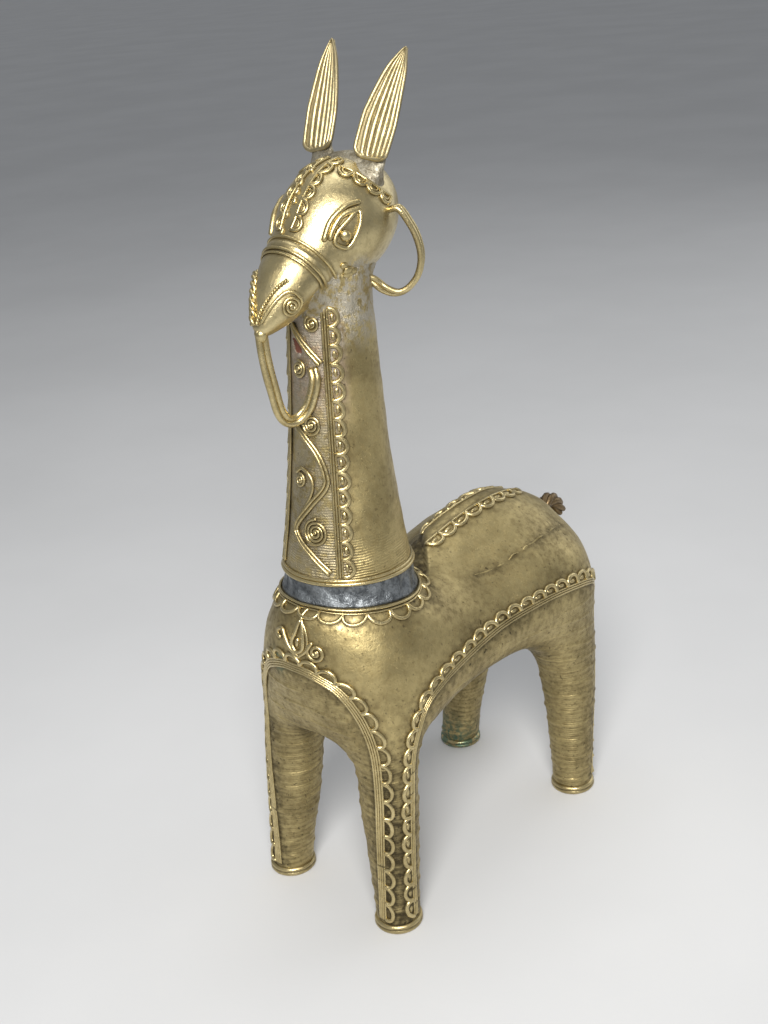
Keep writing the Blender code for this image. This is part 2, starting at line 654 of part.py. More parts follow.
def add_ears(head):
    # Share of the length, half width and half thickness
    leaf = (
        (0.0, 4.4, 2.6), (0.12, 6.6, 2.4), (0.28, 9.8, 2.2), (0.46, 10.3, 2.0), (0.76, 7.0, 1.8), (1.0, 1.2, 1.0),
    )
    turns = [2 * math.pi * k / 12 for k in range(12)]
    for sign, name, rise in ((1.0, "left", -1.6), (-1.0, "right", 1.6)):
        root, tip = mm(sign * 15, -22, 395 + rise), mm(sign * 23.5, -0.5, 442.8 + 1.4 * rise)
        axis = (tip - root).normalized()
        wide_way = mm(1.0, sign * 0.1, 0.0)
        across = (wide_way - axis * wide_way.dot(axis)).normalized()
        flat = axis.cross(across)
        rings = []
        for t, wide, thick in leaf:
            middle = root.lerp(tip, t) - mm(0, 10 * t * (1 - t), 0)
            long_way, thin_way = across * wide * MM, flat * thick * MM
            rings.append([middle + long_way * math.cos(a) + thin_way * math.sin(a) for a in turns])
        rings[0] = [head.along(p + axis * 20 * MM, -axis)[0] + axis * 2 * GAP for p in rings[0]]
        solid("ear_" + name, loft(rings), BRASS, 60.0)
        fillet("ear_braze_" + name, head, root, axis, 4.0 * MM, 2.4 * MM, 5.5 * MM, 1.6, across)


def add_loops(head, neck):
    loop = (
        (33, -18, 364), (34.8, -16, 357.5), (35.4, -14.6, 350.5), (34.9, -14.8, 344), (32.8, -16.4, 337.4),
        (29.6, -19.4, 333),
    )
    for sign, name in ((1.0, "left"), (-1.0, "right")):
        top, top_normal = head.near(mm(sign * 25.4, -22, 370.5))
        low, low_normal = neck.near(mm(sign * 18.6, -32, 332.5))
        path = [top + top_normal * 2 * GAP, top + top_normal * 4 * MM]
        path += [mm(sign * x, y, z) for x, y, z in loop]
        path += [low + low_normal * 4 * MM, low + low_normal * 2 * GAP]
        bead_path("cheek_loop_" + name, smooth_path(path, 16), 2.4 * MM, THREAD_BRASS, sides=2)
    end, end_normal = neck.near(mm(0, -68, 283))
    path = mm_path((0, -89.8, 319.4), (0, -89, 312), (0, -86.8, 298), (0, -84, 285), (0, -79.5, 279.8))
    path += [end + end_normal * 6 * MM, end + end_normal * 3 * GAP]
    bead_path("rein_loop", smooth_path(path, 16), 2.6 * MM, THREAD_BRASS, sides=2)


def add_feet():
    low, high = 0.0, FOOT_RING_HEIGHT
    profile = (
        (FOOT_RING_BORE, low), (12.4 * MM, low), (FOOT_RING_RADIUS, 1.4 * MM), (FOOT_RING_RADIUS, 3.8 * MM),
        (12.4 * MM, high), (FOOT_RING_BORE, high),
    )
    for end, foot in (("front", FOOT_FRONT), ("rear", FOOT_REAR)):
        for name, sign in (("left", 1.0), ("right", -1.0)):
            spot = Vector((sign * foot.x, foot.y, 0.0))
            solid(f"foot_ring_{end}_{name}", turned(profile, 16, spot, mm(0, 0, 1)), THREAD_BRASS, 30.0)


BODY = build_body()
NECK = build_neck()
HEAD = build_head()
add_body_ornament(BODY)
add_collar(BODY)
add_neck_ornament(NECK)
add_head_ornament(HEAD)
add_ears(HEAD)
add_loops(HEAD, NECK)
add_feet()
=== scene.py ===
"""Looks of the long-necked brass donkey: fine castings, laid thread ornament, aged brass, studio.

Lengths are millimetres from the middle of the four feet, with the animal looking along -Y and its left
side at +X. piece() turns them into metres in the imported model's frame.
"""

import math

import bmesh
import bpy
import numpy as np
from mathutils import Matrix, Vector
from mathutils.bvhtree import BVHTree
from mathutils.kdtree import KDTree


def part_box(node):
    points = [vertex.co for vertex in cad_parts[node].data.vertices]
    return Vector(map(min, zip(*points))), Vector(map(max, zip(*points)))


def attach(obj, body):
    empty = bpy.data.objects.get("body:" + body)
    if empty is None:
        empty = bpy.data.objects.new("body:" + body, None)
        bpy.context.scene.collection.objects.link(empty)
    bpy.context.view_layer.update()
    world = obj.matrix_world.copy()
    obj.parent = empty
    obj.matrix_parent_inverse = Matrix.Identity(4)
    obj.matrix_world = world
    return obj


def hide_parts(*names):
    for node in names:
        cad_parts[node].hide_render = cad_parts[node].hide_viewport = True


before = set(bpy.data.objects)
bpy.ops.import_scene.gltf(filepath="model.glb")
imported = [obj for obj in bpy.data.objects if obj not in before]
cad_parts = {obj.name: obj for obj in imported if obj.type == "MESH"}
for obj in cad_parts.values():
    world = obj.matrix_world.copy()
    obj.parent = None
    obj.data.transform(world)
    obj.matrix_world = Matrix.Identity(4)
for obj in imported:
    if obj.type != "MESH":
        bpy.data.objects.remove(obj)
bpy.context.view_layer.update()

MM = 0.001
FOOT_FRONT = (41.0, -79.5)
FOOT_REAR = (44.5, 78.0)
RING_LOW, RING_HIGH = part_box("foot_ring_front_left")
SHIFT = np.array([0.0, (RING_LOW.y + RING_HIGH.y) / 2 - FOOT_FRONT[1] * MM, 0.0])

BODY_LEVEL = 5


# Numbers

def unit(v):
    return v / np.maximum(np.linalg.norm(v, axis=-1, keepdims=True), 1e-9)


def ripple(points, size, seed):
    """Smooth hand-made unevenness between about -1 and 1, with bumps of the given size."""
    rng = np.random.RandomState(seed)
    total = np.zeros(len(points))
    for _ in range(7):
        wave = unit(rng.normal(size=3)) * rng.uniform(0.7, 1.4) * 2 * math.pi / (2 * size)
        total += np.sin(points @ wave + rng.uniform(0, 2 * math.pi))
    return total / 3.5


def fade(value, start, end):
    """0 at start, 1 at end, smooth between them."""
    t = np.clip((value - start) / (end - start), 0.0, 1.0)
    return t * t * (3 - 2 * t)


def smooth_path(points, count, closed=False):
    """Count points, evenly spaced along a Catmull-Rom curve through the given ones."""
    points = np.asarray(points, float)
    if closed:
        a, b, c, d = (np.roll(points, 1 - k, axis=0) for k in range(4))
    else:
        ends = np.vstack([2 * points[0] - points[1], points, 2 * points[-1] - points[-2]])
        a, b, c, d = ends[:-3], ends[1:-2], ends[2:-1], ends[3:]
    t = np.linspace(0, 1, 24, endpoint=False)[None, :, None]
    a, b, c, d = (v[:, None, :] for v in (a, b, c, d))
    fine = 0.5 * (2 * b + (c - a) * t + (2 * a - 5 * b + 4 * c - d) * t**2 + (3 * b - a - 3 * c + d) * t**3)
    fine = fine.reshape(-1, points.shape[1])
    fine = np.vstack([fine, points[:1] if closed else points[-1:]])
    reach = np.concatenate([[0.0], np.cumsum(np.linalg.norm(np.diff(fine, axis=0), axis=1))])
    goal = np.linspace(0, reach[-1], count, endpoint=not closed)
    return np.stack([np.interp(goal, reach, fine[:, k]) for k in range(points.shape[1])], axis=1)


def length_of(points):
    return np.linalg.norm(np.diff(points, axis=0), axis=1).sum()


def headings(path, closed=False):
    """The way along a path at each of its points."""
    if closed:
        return np.roll(path, -1, axis=0) - np.roll(path, 1, axis=0)
    return np.gradient(path, axis=0)


def spokes_round(count):
    """Level directions all round, from the figure's front to its left."""
    turns = np.linspace(0, 2 * math.pi, count, endpoint=False)
    return np.stack([np.sin(turns), -np.cos(turns), 0 * turns], axis=1)


def sided(points, sign):
    """Places given for the figure's left, on its left (1) or its right (-1)."""
    return np.asarray(points, float) * (sign, 1.0, 1.0)


def grid_faces(count, width, start=0):
    """Quads between rows of numbered points, each row closed on itself."""
    faces = []
    for low in range(start, start + (count - 1) * width, width):
        for j in range(width):
            k = (j + 1) % width
            faces.append((low + j, low + k, low + width + k, low + width + j))
    return faces


SIDES = (("left", 1.0), ("right", -1.0))


# Pieces under construction

class Draft:
    """Points, faces and the grime, with some painted shade, on each point of a piece that is being drawn."""

    def __init__(self):
        self.points, self.faces, self.grime_and_shade = [], [], []

    def grid(self, rows, grime_and_shade, caps=True):
        """Quads between equal rows of points, each closed on itself. Caps close the two ends."""
        rows = np.asarray(rows, float)
        count, width = rows.shape[:2]
        start = len(self.points)
        self.points.extend(map(tuple, rows.reshape(-1, 3)))
        self.grime_and_shade.extend(np.broadcast_to(grime_and_shade, (count, width)).reshape(-1).tolist())
        self.faces.extend(grid_faces(count, width, start))
        if caps:
            self.faces.append(tuple(start + j for j in reversed(range(width))))
            self.faces.append(tuple(start + (count - 1) * width + j for j in range(width)))

    def ring(self, rows, grime_and_shade):
        """As grid, with the last row joined to the first."""
        rows = np.asarray(rows, float)
        self.grid(np.vstack([rows, rows[:1]]), grime_and_shade, caps=False)

    def tube(self, path, radius, normals=None, closed=False, sides=8, grime_and_shade=1.0):
        """A round thread along the path. Its underside, away from the normals, is dirtier than its top."""
        path = np.asarray(path, float)
        ahead = unit(headings(path, closed))
        normals = carried(ahead) if normals is None else normals
        side = unit(np.cross(ahead, normals))
        up = np.cross(side, ahead)
        radius = np.broadcast_to(np.asarray(radius, float), (len(path),))
        turns = np.arange(sides) * 2 * math.pi / sides
        ring = side[:, None, :] * np.cos(turns)[None, :, None] + up[:, None, :] * np.sin(turns)[None, :, None]
        rows = path[:, None, :] + ring * radius[:, None, None]
        dirt_and_shade = np.clip(0.45 - 0.8 * np.sin(turns), 0.0, 1.0) * grime_and_shade
        if closed:
            self.ring(rows, dirt_and_shade)
            return
        ends = []
        for at, way in ((0, -1.0), (-1, 1.0)):
            for out, share in ((0.5, 0.82), (0.85, 0.42)):
                ends.append(path[at] + ahead[at] * way * out * radius[at] + ring[at] * radius[at] * share)
        self.grid(np.concatenate([[ends[1], ends[0]], rows, [ends[2], ends[3]]]), dirt_and_shade)

    def lump(self, centre, radii, axes, seed=0, rough=0.0, segments=14, rings=8, grime_and_shade=0.2):
        """A rounded nodule with three half sizes along three axes."""
        axes = np.asarray(axes, float)
        rows = []
        for i in range(1, rings):
            polar = math.pi * i / rings
            turns = np.arange(segments) * 2 * math.pi / segments
            flat = np.stack([np.cos(turns), np.sin(turns)], axis=1) * np.sin(polar)
            local = np.column_stack([flat, np.full(segments, math.cos(polar))])
            rows.append(np.asarray(centre) + (local * radii) @ axes)
        points = np.concatenate(rows)
        if rough:
            bump = ripple(points, min(radii) * 0.8, seed)
            points = points + unit(points - centre) * (bump * rough)[:, None]
        self.grid(points.reshape(rings - 1, segments, 3), grime_and_shade)


def carried(ahead):
    """Normals carried along a path without twist."""
    made = [unit(np.cross(ahead[0], (0.3, 0.2, 1.0)))]
    for way in ahead[1:]:
        made.append(unit(made[-1] - way * made[-1].dot(way)))
    return np.asarray(made)


class Skin:
    """The smooth outside of a casting, on which threads are laid."""

    def __init__(self, points, faces, lift=0.3):
        self.points = np.asarray(points, float)
        self.faces = faces
        self.lift = lift
        self.tree = BVHTree.FromPolygons(self.points.tolist(), faces)
        self.laid = []

    def snap(self, points):
        spots, normals = [], []
        for point in np.asarray(points, float):
            spot, normal, _, _ = self.tree.find_nearest(Vector(point))
            spots.append(spot)
            normals.append(normal)
        return np.array(spots), np.array(normals)

    def drop(self, points):
        """Where points above the casting come down on it."""
        return np.array([self.tree.ray_cast(Vector(point), Vector((0, 0, -1)))[0] for point in points])

    def seat(self, point, up):
        """The nearest place on the surface, and the directions across, along and out of it there."""
        (spot,), (normal,) = self.snap([point])
        right = unit(np.cross(up, normal))
        return spot, np.array([right, np.cross(normal, right), normal])

    def thread(self, draft, points, radius, closed=False, lift=None, seed=1):
        """A round thread partly sunk in the surface, with the small swellings of hand-rolled wax."""
        spots, normals = self.snap(points)
        if len(normals) > 4:
            before, after = (-1, 0) if closed else (0, -1)
            padded = np.vstack([normals[before], normals, normals[after]])
            normals = unit(padded[:-2] + padded[1:-1] * 2 + padded[2:])
        path = spots + normals * radius * (self.lift if lift is None else lift)
        draft.tube(path, radius * (1 + 0.07 * ripple(path, 5.0, seed)), normals, closed)
        self.laid.extend(map(tuple, spots))

    def pair(self, draft, points, radius, spread):
        """Two threads side by side along one path."""
        spots, normals = self.snap(points)
        across = unit(np.cross(normals, headings(spots)))
        for sign in (-0.5, 0.5):
            self.thread(draft, spots + across * spread * sign, radius)

    def border(self, draft, guide, pitch, height, rim, lines=(), line_radius=0.7, toward=None, away=None,
               closed=False, fill=None, gap=0.5, lean=0.0):
        """Parallel threads along the guide and a row of looped lobes on one side of it.

        The lobes point in the direction toward, or away from a place. Each is a bent thread, round a finer
        one with fill "arc" and round a rubbed pad of wax with "pad". Lean tips them away from the middle of
        the row.
        """
        lobes = max(3, round(length_of(smooth_path(guide, 400, closed)) / pitch))
        steps = 8
        count = lobes * steps if closed else lobes * steps + 1
        spots, normals = self.snap(smooth_path(guide, count, closed))
        out = unit(np.cross(headings(spots, closed), normals))
        lead = np.asarray(toward) if away is None else spots - away
        out *= np.sign(np.sum(out * lead, axis=1))[:, None]
        for k, reach in enumerate(lines):
            self.thread(draft, spots + out * reach, line_radius, closed, seed=k + 3)
        if closed:
            spots, out = np.vstack([spots, spots[:1]]), np.vstack([out, out[:1]])
        at = np.arange(len(spots))
        half = steps / 2 - gap * steps / (2 * pitch)
        rng = np.random.RandomState(lobes)
        for i in range(lobes):
            size = rng.uniform(0.9, 1.12)
            slant = lean * np.sign(i + 0.5 - lobes / 2) + rng.uniform(-0.9, 0.9)
            loops = ((1.0, rim), (0.58, rim * 0.55)) if fill == "arc" else ((1.0, rim),)
            for share, radius in loops:
                turns = np.linspace(0, math.pi, 13 if share == 1.0 else 9)
                where = (i + 0.5) * steps + half * share * np.cos(turns) + slant * np.sin(turns)
                reach = 0.3 + height * size * share * np.sin(turns)
                base, way = (
                    np.stack([np.interp(where, at, v[:, k]) for k in range(3)], axis=1) for v in (spots, out))
                self.thread(draft, base + way * reach[:, None], radius, seed=i)
            if fill == "pad":
                middle = i * steps + steps // 2
                spot, axes = self.seat(spots[middle] + out[middle] * height * 0.4, out[middle])
                draft.lump(spot, (pitch * 0.24, height * 0.26, 0.8), axes, seed=i, rough=0.15, grime_and_shade=0.1)

    def coil(self, draft, centre, up, radius, turns, thickness, start, handed):
        """A flat spiral with a bead at its middle."""
        spot, axes = self.seat(centre, up)
        share = np.linspace(0, 1, int(turns * 20))
        angle = math.radians(start) + handed * 2 * math.pi * turns * (share - 1.0)
        reach = thickness * 0.7 + (radius - thickness * 0.7) * share
        path = spot + np.outer(np.cos(angle) * reach, axes[0]) + np.outer(np.sin(angle) * reach, axes[1])
        self.thread(draft, path, thickness)
        draft.lump(spot + axes[2] * thickness * 0.4, (thickness * 1.2,) * 3, axes)

    def grime_from_threads(self, reach=1.5, halo=0.0):
        """How dirty each point is: most beside a thread, with a patchy halo some millimetres wide."""
        tree = KDTree(len(self.laid))
        for k, spot in enumerate(self.laid):
            tree.insert(spot, k)
        tree.balance()
        far = np.array([tree.find(point)[2] for point in self.points])
        near = np.exp(-(np.maximum(far - 0.9, 0) / reach) ** 2)
        patchy = fade(ripple(self.points, 2.4, 12) + 0.8 * ripple(self.points, 9.0, 13), -0.5, 0.6)
        return np.maximum(near, halo * np.exp(-(far / 7.0) ** 2) * patchy)


def placed(name, data):
    """A new object in the scene."""
    obj = bpy.data.objects.new(name, data)
    bpy.context.scene.collection.objects.link(obj)
    return obj


def piece(name, draft, material, slot, *nodes, extra=None):
    """The finished object: in the model's frame, riding on the body, standing for its CAD nodes."""
    mesh = bpy.data.meshes.new(name)
    mesh.from_pydata((np.asarray(draft.points) * MM + SHIFT).tolist(), [], draft.faces)
    for label, values in (("grime_and_shade", draft.grime_and_shade), *(extra or {}).items()):
        mesh.attributes.new(label, "FLOAT", "POINT").data.foreach_set("value", np.asarray(values, np.float32))
    bm = bmesh.new()
    bm.from_mesh(mesh)
    bmesh.ops.recalc_face_normals(bm, faces=bm.faces)
    bm.to_mesh(mesh)
    bm.free()
    mesh.shade_smooth()
    mesh.materials.append(material)
    obj = placed(name, mesh)
    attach(obj, "root")
    if nodes:
        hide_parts(*nodes)
    return obj


def bordered(name, node, material, skin, guide, **options):
    """A piece that is one border."""
    draft = Draft()
    skin.border(draft, guide, **options)
    piece(name, draft, material, "thread_brass", node)


def fillet(low, bend, high, count, centre, lumps):
    """Rows of braze between two rings of points, bent toward a third, with lumps away from a centre."""
    rows = []
    for u in np.linspace(0, 1, count):
        row = (1 - u) ** 2 * low + 2 * u * (1 - u) * bend + u**2 * high
        rows.append(row + unit(row - centre) * (math.sin(math.pi * u) * lumps(row))[:, None])
    return rows


# Materials

class Nodes:
    """A material's node tree with short calls for the nodes used here."""

    def __init__(self, name):
        self.material = bpy.data.materials.new(name)
        self.material.use_nodes = True
        self.tree = self.material.node_tree
        self.shader = self.tree.nodes["Principled BSDF"]
        self.place = self.tree.nodes.new("ShaderNodeTexCoord").outputs["Object"]

    def feed(self, target, source):
        """Links a socket to another, or sets a plain value on it."""
        if isinstance(source, bpy.types.NodeSocket):
            self.tree.links.new(source, target)
        else:
            target.default_value = source

    def add(self, kind, inputs, **settings):
        made = self.tree.nodes.new("ShaderNode" + kind)
        for label, value in settings.items():
            setattr(made, label, value)
        for label, source in inputs.items():
            self.feed(made.inputs[label], source)
        return made.outputs

    def noise(self, scale, detail=3.0, rough=0.5, stretch=None):
        place = self.place
        if stretch:
            place = self.add("Mapping", {"Vector": place, "Scale": stretch})["Vector"]
        inputs = {"Vector": place, "Scale": scale, "Detail": detail, "Roughness": rough}
        return self.add("TexNoise", inputs)["Fac"]

    def bands(self, scale, distortion):
        inputs = {"Vector": self.place, "Scale": scale, "Distortion": distortion,
                  "Detail": 2.0, "Detail Scale": 0.6}
        return self.add("TexWave", inputs, bands_direction="Z")["Fac"]

    def value(self, name):
        return self.add("Attribute", {}, attribute_name=name)["Fac"]

    def span(self, source, low, high, to_low=0.0, to_high=1.0):
        inputs = {"Value": source, "From Min": low, "From Max": high, "To Min": to_low, "To Max": to_high}
        return self.add("MapRange", inputs, interpolation_type="SMOOTHSTEP")["Result"]

    def sum(self, first, second):
        return self.add("Math", {0: first, 1: second}, operation="ADD", use_clamp=True)["Value"]

    def product(self, first, second):
        return self.add("Math", {0: first, 1: second}, operation="MULTIPLY", use_clamp=True)["Value"]

    def mix(self, share, *colours):
        first, second = ((*c, 1.0) if isinstance(c, tuple) else c for c in colours)
        return self.add("Mix", {"Factor": share, 6: first, 7: second}, data_type="RGBA")[2]

    def bump(self, height, distance, strength, under=None):
        inputs = {"Height": height, "Distance": distance, "Strength": strength}
        if under:
            inputs["Normal"] = under
        return self.add("Bump", inputs)["Normal"]

    def done(self, colour, rough, normal, metallic):
        inputs = {"Base Color": colour, "Roughness": rough, "Normal": normal, "Metallic": metallic}
        for label, source in inputs.items():
            self.feed(self.shader.inputs[label], source)
        return self.material


GREEN = (0.10, 0.21, 0.155)
COPPER = (0.55, 0.43, 0.33)
FLUX_GREY = (0.47, 0.44, 0.37)


def brass(name, bright, dull, dark, shine, pitted=0.5, coat=0.12):
    """Aged cast brass: rubbed gold, duller patches, dark recesses, painted shade, casting pits and a little
    verdigris.
    """
    n = Nodes(name)
    patches = n.span(n.noise(38.0, 4.0, 0.6), 0.38, 0.64)
    mottle = n.noise(310.0, 4.0, 0.62)
    pits = n.span(n.noise(1050.0, 2.0, 0.5), 0.64, 0.72)
    specks = n.span(n.noise(420.0, 2.0, 0.45), 0.66, 0.73)
    wear = n.sum(n.product(patches, 0.55), n.span(mottle, 0.40, 0.66, 0.0, 0.45))
    colour = n.mix(wear, bright, dull)
    colour = n.mix(n.product(n.value("blush"), n.span(mottle, 0.3, 0.6, 0.4, 0.9)), colour, COPPER)
    # The grime attribute darkens the colour. On the body it also carries painted shade on downward-facing
    # surfaces and in the dip behind the neck.
    soil_and_shade = n.product(n.value("grime_and_shade"), n.span(mottle, 0.3, 0.6, 0.75, 1.0))
    dirt_and_shade = n.sum(soil_and_shade, n.product(n.sum(pits, specks), pitted))
    colour = n.mix(dirt_and_shade, colour, dark)
    flux = n.value("flux")
    colour = n.mix(n.product(flux, n.span(n.noise(240.0, 5.0, 0.7), 0.40, 0.56)), colour, FLUX_GREY)
    colour = n.mix(n.product(n.value("green"), n.span(mottle, 0.42, 0.58)), colour, GREEN)
    rough = n.sum(n.span(mottle, 0.35, 0.7, shine, shine + 0.16), n.product(dirt_and_shade, 0.25))
    lines = n.product(n.bands(235.0, 3.0), n.value("hatch"))
    normal = n.bump(lines, 0.0005, 0.8)
    normal = n.bump(pits, -0.0003, pitted, normal)
    normal = n.bump(n.noise(700.0, 4.0, 0.6), 0.00025, 0.55, normal)
    n.shader.inputs["Coat Weight"].default_value = coat
    n.shader.inputs["Coat Roughness"].default_value = 0.32
    crust = n.product(n.noise(380.0, 6.0, 0.75, (1.0, 1.0, 0.45)), flux)
    return n.done(colour, rough, n.bump(crust, 0.0016, 0.8, normal), 1.0)


def rough_metal(name, pale, dark, shine):
    """Solder or braze left as it froze: lumpy, grainy and oxidised."""
    n = Nodes(name)
    grain = n.noise(520.0, 5.0, 0.65)
    patches = n.noise(120.0, 3.0, 0.6)
    share = n.sum(n.span(patches, 0.35, 0.62, 0.0, 0.6), n.span(grain, 0.42, 0.62, 0.0, 0.5))
    colour = n.mix(share, pale, dark)
    rough = n.span(grain, 0.3, 0.7, shine, shine + 0.3)
    normal = n.bump(grain, 0.0007, 0.8)
    return n.done(colour, rough, n.bump(n.noise(1500.0, 2.0), 0.0003, 0.5, normal), 1.0)


def clay(name):
    """Fired casting clay: red-brown, sandy and matt."""
    n = Nodes(name)
    sand = n.noise(900.0, 4.0, 0.7)
    patches = n.noise(90.0, 3.0, 0.6)
    colour = n.mix(n.span(patches, 0.35, 0.65), (0.185, 0.055, 0.028), (0.10, 0.036, 0.021))
    colour = n.mix(n.span(sand, 0.58, 0.72), colour, (0.27, 0.12, 0.07))
    rough = n.span(sand, 0.3, 0.7, 0.82, 0.98)
    return n.done(colour, rough, n.bump(sand, 0.0006, 0.7), 0.0)


CAST = brass("cast_brass_aged", (0.54, 0.437, 0.208), (0.29, 0.229, 0.104), (0.070, 0.055, 0.028), shine=0.40)
POLISHED = brass("head_brass_rubbed", (0.70, 0.585, 0.31), (0.44, 0.358, 0.18), (0.09, 0.072, 0.036),
                 shine=0.28, pitted=0.25, coat=0.3)
LEAF = brass("ear_brass_rubbed", (0.57, 0.483, 0.275), (0.385, 0.318, 0.172), (0.085, 0.069, 0.037),
             shine=0.40, pitted=0.3)
THREAD = brass("thread_brass_rubbed", (0.66, 0.545, 0.285), (0.43, 0.345, 0.165), (0.075, 0.058, 0.030),
               shine=0.26, pitted=0.2)
FACE = brass("face_thread_brass", (0.66, 0.545, 0.275), (0.46, 0.37, 0.175), (0.15, 0.12, 0.058),
             shine=0.26, pitted=0.2)
COPPERY = brass("tail_brass_brown", (0.26, 0.185, 0.095), (0.16, 0.108, 0.056), (0.05, 0.035, 0.020),
                shine=0.36)
SOLDER = rough_metal("solder_grey", (0.285, 0.305, 0.318), (0.092, 0.101, 0.109), shine=0.36)
FLUX = rough_metal("braze_flux_grey", (0.45, 0.415, 0.325), (0.20, 0.172, 0.118), shine=0.46)
CLAY = clay("casting_clay")


# Body

LEG_RINGS = ((74.0, 17.2, 6.0, 8.0), (32.0, 13.4, 2.2, 3.0), (4.7, 12.5, 0.0, 0.0))
LEG_BORE = ((4.7, 8.6), (13.0, 8.2))
BODY_RINGS = (
    (-88.0, ((0, 184), (22, 181), (37, 158), (45, 130), (48, 104), (17, 101, 4), (0, 105, 10))),
    (-56.0, ((0, 189), (32, 194), (47, 172), (53, 140), (54, 107), (17, 102), (0, 106))),
    (-18.0, ((0, 173), (26, 174), (43, 158), (52, 136), (50, 114), (22, 109), (0, 109))),
    (18.0, ((0, 190), (21, 168), (44, 157), (54, 138), (49, 117), (24, 111), (0, 111))),
    (56.0, ((0, 205.5), (27, 179), (49, 168), (57, 138), (53, 108), (20, 105), (0, 109))),
    (106.0, ((0, 181.5), (26, 167), (49, 154), (60, 132), (57, 104), (19, 102), (0, 106))),
)
CHEST = ((-96, 173), (-101, 156), (-99, 130), (-90, 113), (-83, 105))
RUMP = ((120, 159.5), (130, 148), (131, 127), (122, 108), (110, 102))
DIP_DEPTH = 3.0


def body_cage():
    """The low cage of the body and legs. Each leg ends in a flat sole with a short bore."""
    bm = bmesh.new()
    crease = bm.edges.layers.float.new("crease_edge")
    rings = []
    for y, outline in BODY_RINGS:
        left = [bm.verts.new((x, y + sum(step), z)) for x, z, *step in outline]
        right = [bm.verts.new((-x, y + sum(step), z)) for x, z, *step in outline[1:-1]]
        rings.append((left, [left[0], *right, left[-1]]))
    count = len(rings[0][0])
    leg_row = count - 3
    leg_spans = (0, len(rings) - 2)
    for k, (near, far) in enumerate(zip(rings, rings[1:])):
        for side in range(2):
            for i in range(count - 1):
                if i != leg_row or k not in leg_spans:
                    bm.faces.new((near[side][i], near[side][i + 1], far[side][i + 1], far[side][i]))
    for ring, column in ((rings[0], CHEST), (rings[-1], RUMP)):
        middle = [ring[0][0], *(bm.verts.new((0, y, z)) for y, z in column), ring[0][-1]]
        for side in range(2):
            for i in range(count - 1):
                corners = (ring[side][i], ring[side][i + 1], middle[i + 1], middle[i])
                bm.faces.new(tuple(dict.fromkeys(corners)))
    for k, foot in zip(leg_spans, (FOOT_FRONT, FOOT_REAR)):
        for side, sign in ((0, 1.0), (1, -1.0)):
            near, far = rings[k][side], rings[k + 1][side]
            top = [near[leg_row], far[leg_row], far[leg_row + 1], near[leg_row + 1]]
            hollow = [(height, half, 0.0, 0.0) for height, half in LEG_BORE]
            for step, (height, half, lean_in, lean_back) in enumerate([*LEG_RINGS, *hollow]):
                low = []
                for a, b in ((1, -1), (1, 1), (-1, 1), (-1, -1)):
                    x = sign * (foot[0] + a * half - lean_in)
                    low.append(bm.verts.new((x, foot[1] + b * half + lean_back, height)))
                for i in range(4):
                    j = (i + 1) % 4
                    bm.faces.new((top[i], top[j], low[j], low[i]))
                if step >= len(LEG_RINGS) - 1:
                    for i in range(4):
                        bm.edges.get((low[i], low[(i + 1) % 4]))[crease] = 1.0
                top = low
            bm.faces.new(top)
    bmesh.ops.recalc_face_normals(bm, faces=bm.faces)
    return bm


def smoothed(bm, levels):
    """Points, normals and faces of a cage after subdivision."""
    mesh = bpy.data.meshes.new("cage")
    bm.to_mesh(mesh)
    bm.free()
    obj = placed("cage", mesh)
    modifier = obj.modifiers.new("round", "SUBSURF")
    modifier.levels = levels
    fine = obj.evaluated_get(bpy.context.evaluated_depsgraph_get()).to_mesh()
    points = np.array([v.co for v in fine.vertices])
    normals = np.array([v.normal for v in fine.vertices])
    faces = [tuple(f.vertices) for f in fine.polygons]
    bpy.data.objects.remove(obj)
    bpy.data.meshes.remove(mesh)
    return points, normals, faces


def neck_dip(points, normals):
    """How deep each point lies in the dip behind the neck's foot, whose rear edge runs slantwise: 0 to 1."""
    x, y, z = points.T
    top = fade(normals[:, 2], 0.05, 0.5) * fade(z, 148.0, 165.0)
    edge = 10.0 - 1.05 * x
    return top * fade(y - edge, 1.5, -3.0) * fade(np.abs(x), 30.0, 14.0) * fade(y, -17.0, -9.0)


BODY_POINTS, BODY_NORMALS, BODY_FACES = smoothed(body_cage(), BODY_LEVEL)
BODY_DIP = neck_dip(BODY_POINTS, BODY_NORMALS)
BODY = Skin(BODY_POINTS - np.outer(DIP_DEPTH * BODY_DIP, (0, 0, 1)), BODY_FACES)


def leg_ridges(points):
    """The wound wax threads that show on the legs, under the side arches and on the chest under its arch.

    Gives their height, how far each point lies in these zones, and how deep it lies in a groove of a leg.
    """
    x, y, z = points.T
    flank = fade(z, 141.0, 122.0) * fade(np.abs(x), 30.0, 44.0) * fade(y, -62.0, -50.0)
    legs = fade(z, 116.0, 96.0)
    chest = fade(z, 150.0, 140.0) * fade(np.abs(x), 34.0, 26.0) * fade(y, -76.0, -84.0)
    zone = np.clip(np.maximum(np.maximum(legs, flank * 0.8), chest), 0, 1)
    level = z + 2.2 * ripple(points, 22.0, 5) + 0.10 * np.abs(y - 10)
    coarse = np.exp(-((level / 9.4 % 1.0 - 0.5) / 0.075) ** 2) * fade(ripple(points, 11.0, 6), -0.7, 0.1)
    fine = np.abs(np.cos(math.pi * (z + 1.1 * ripple(points, 16.0, 8)) / 3.1)) ** 0.7
    return zone * (0.62 * coarse + 0.15 * fine), zone, legs * (1.0 - fine)


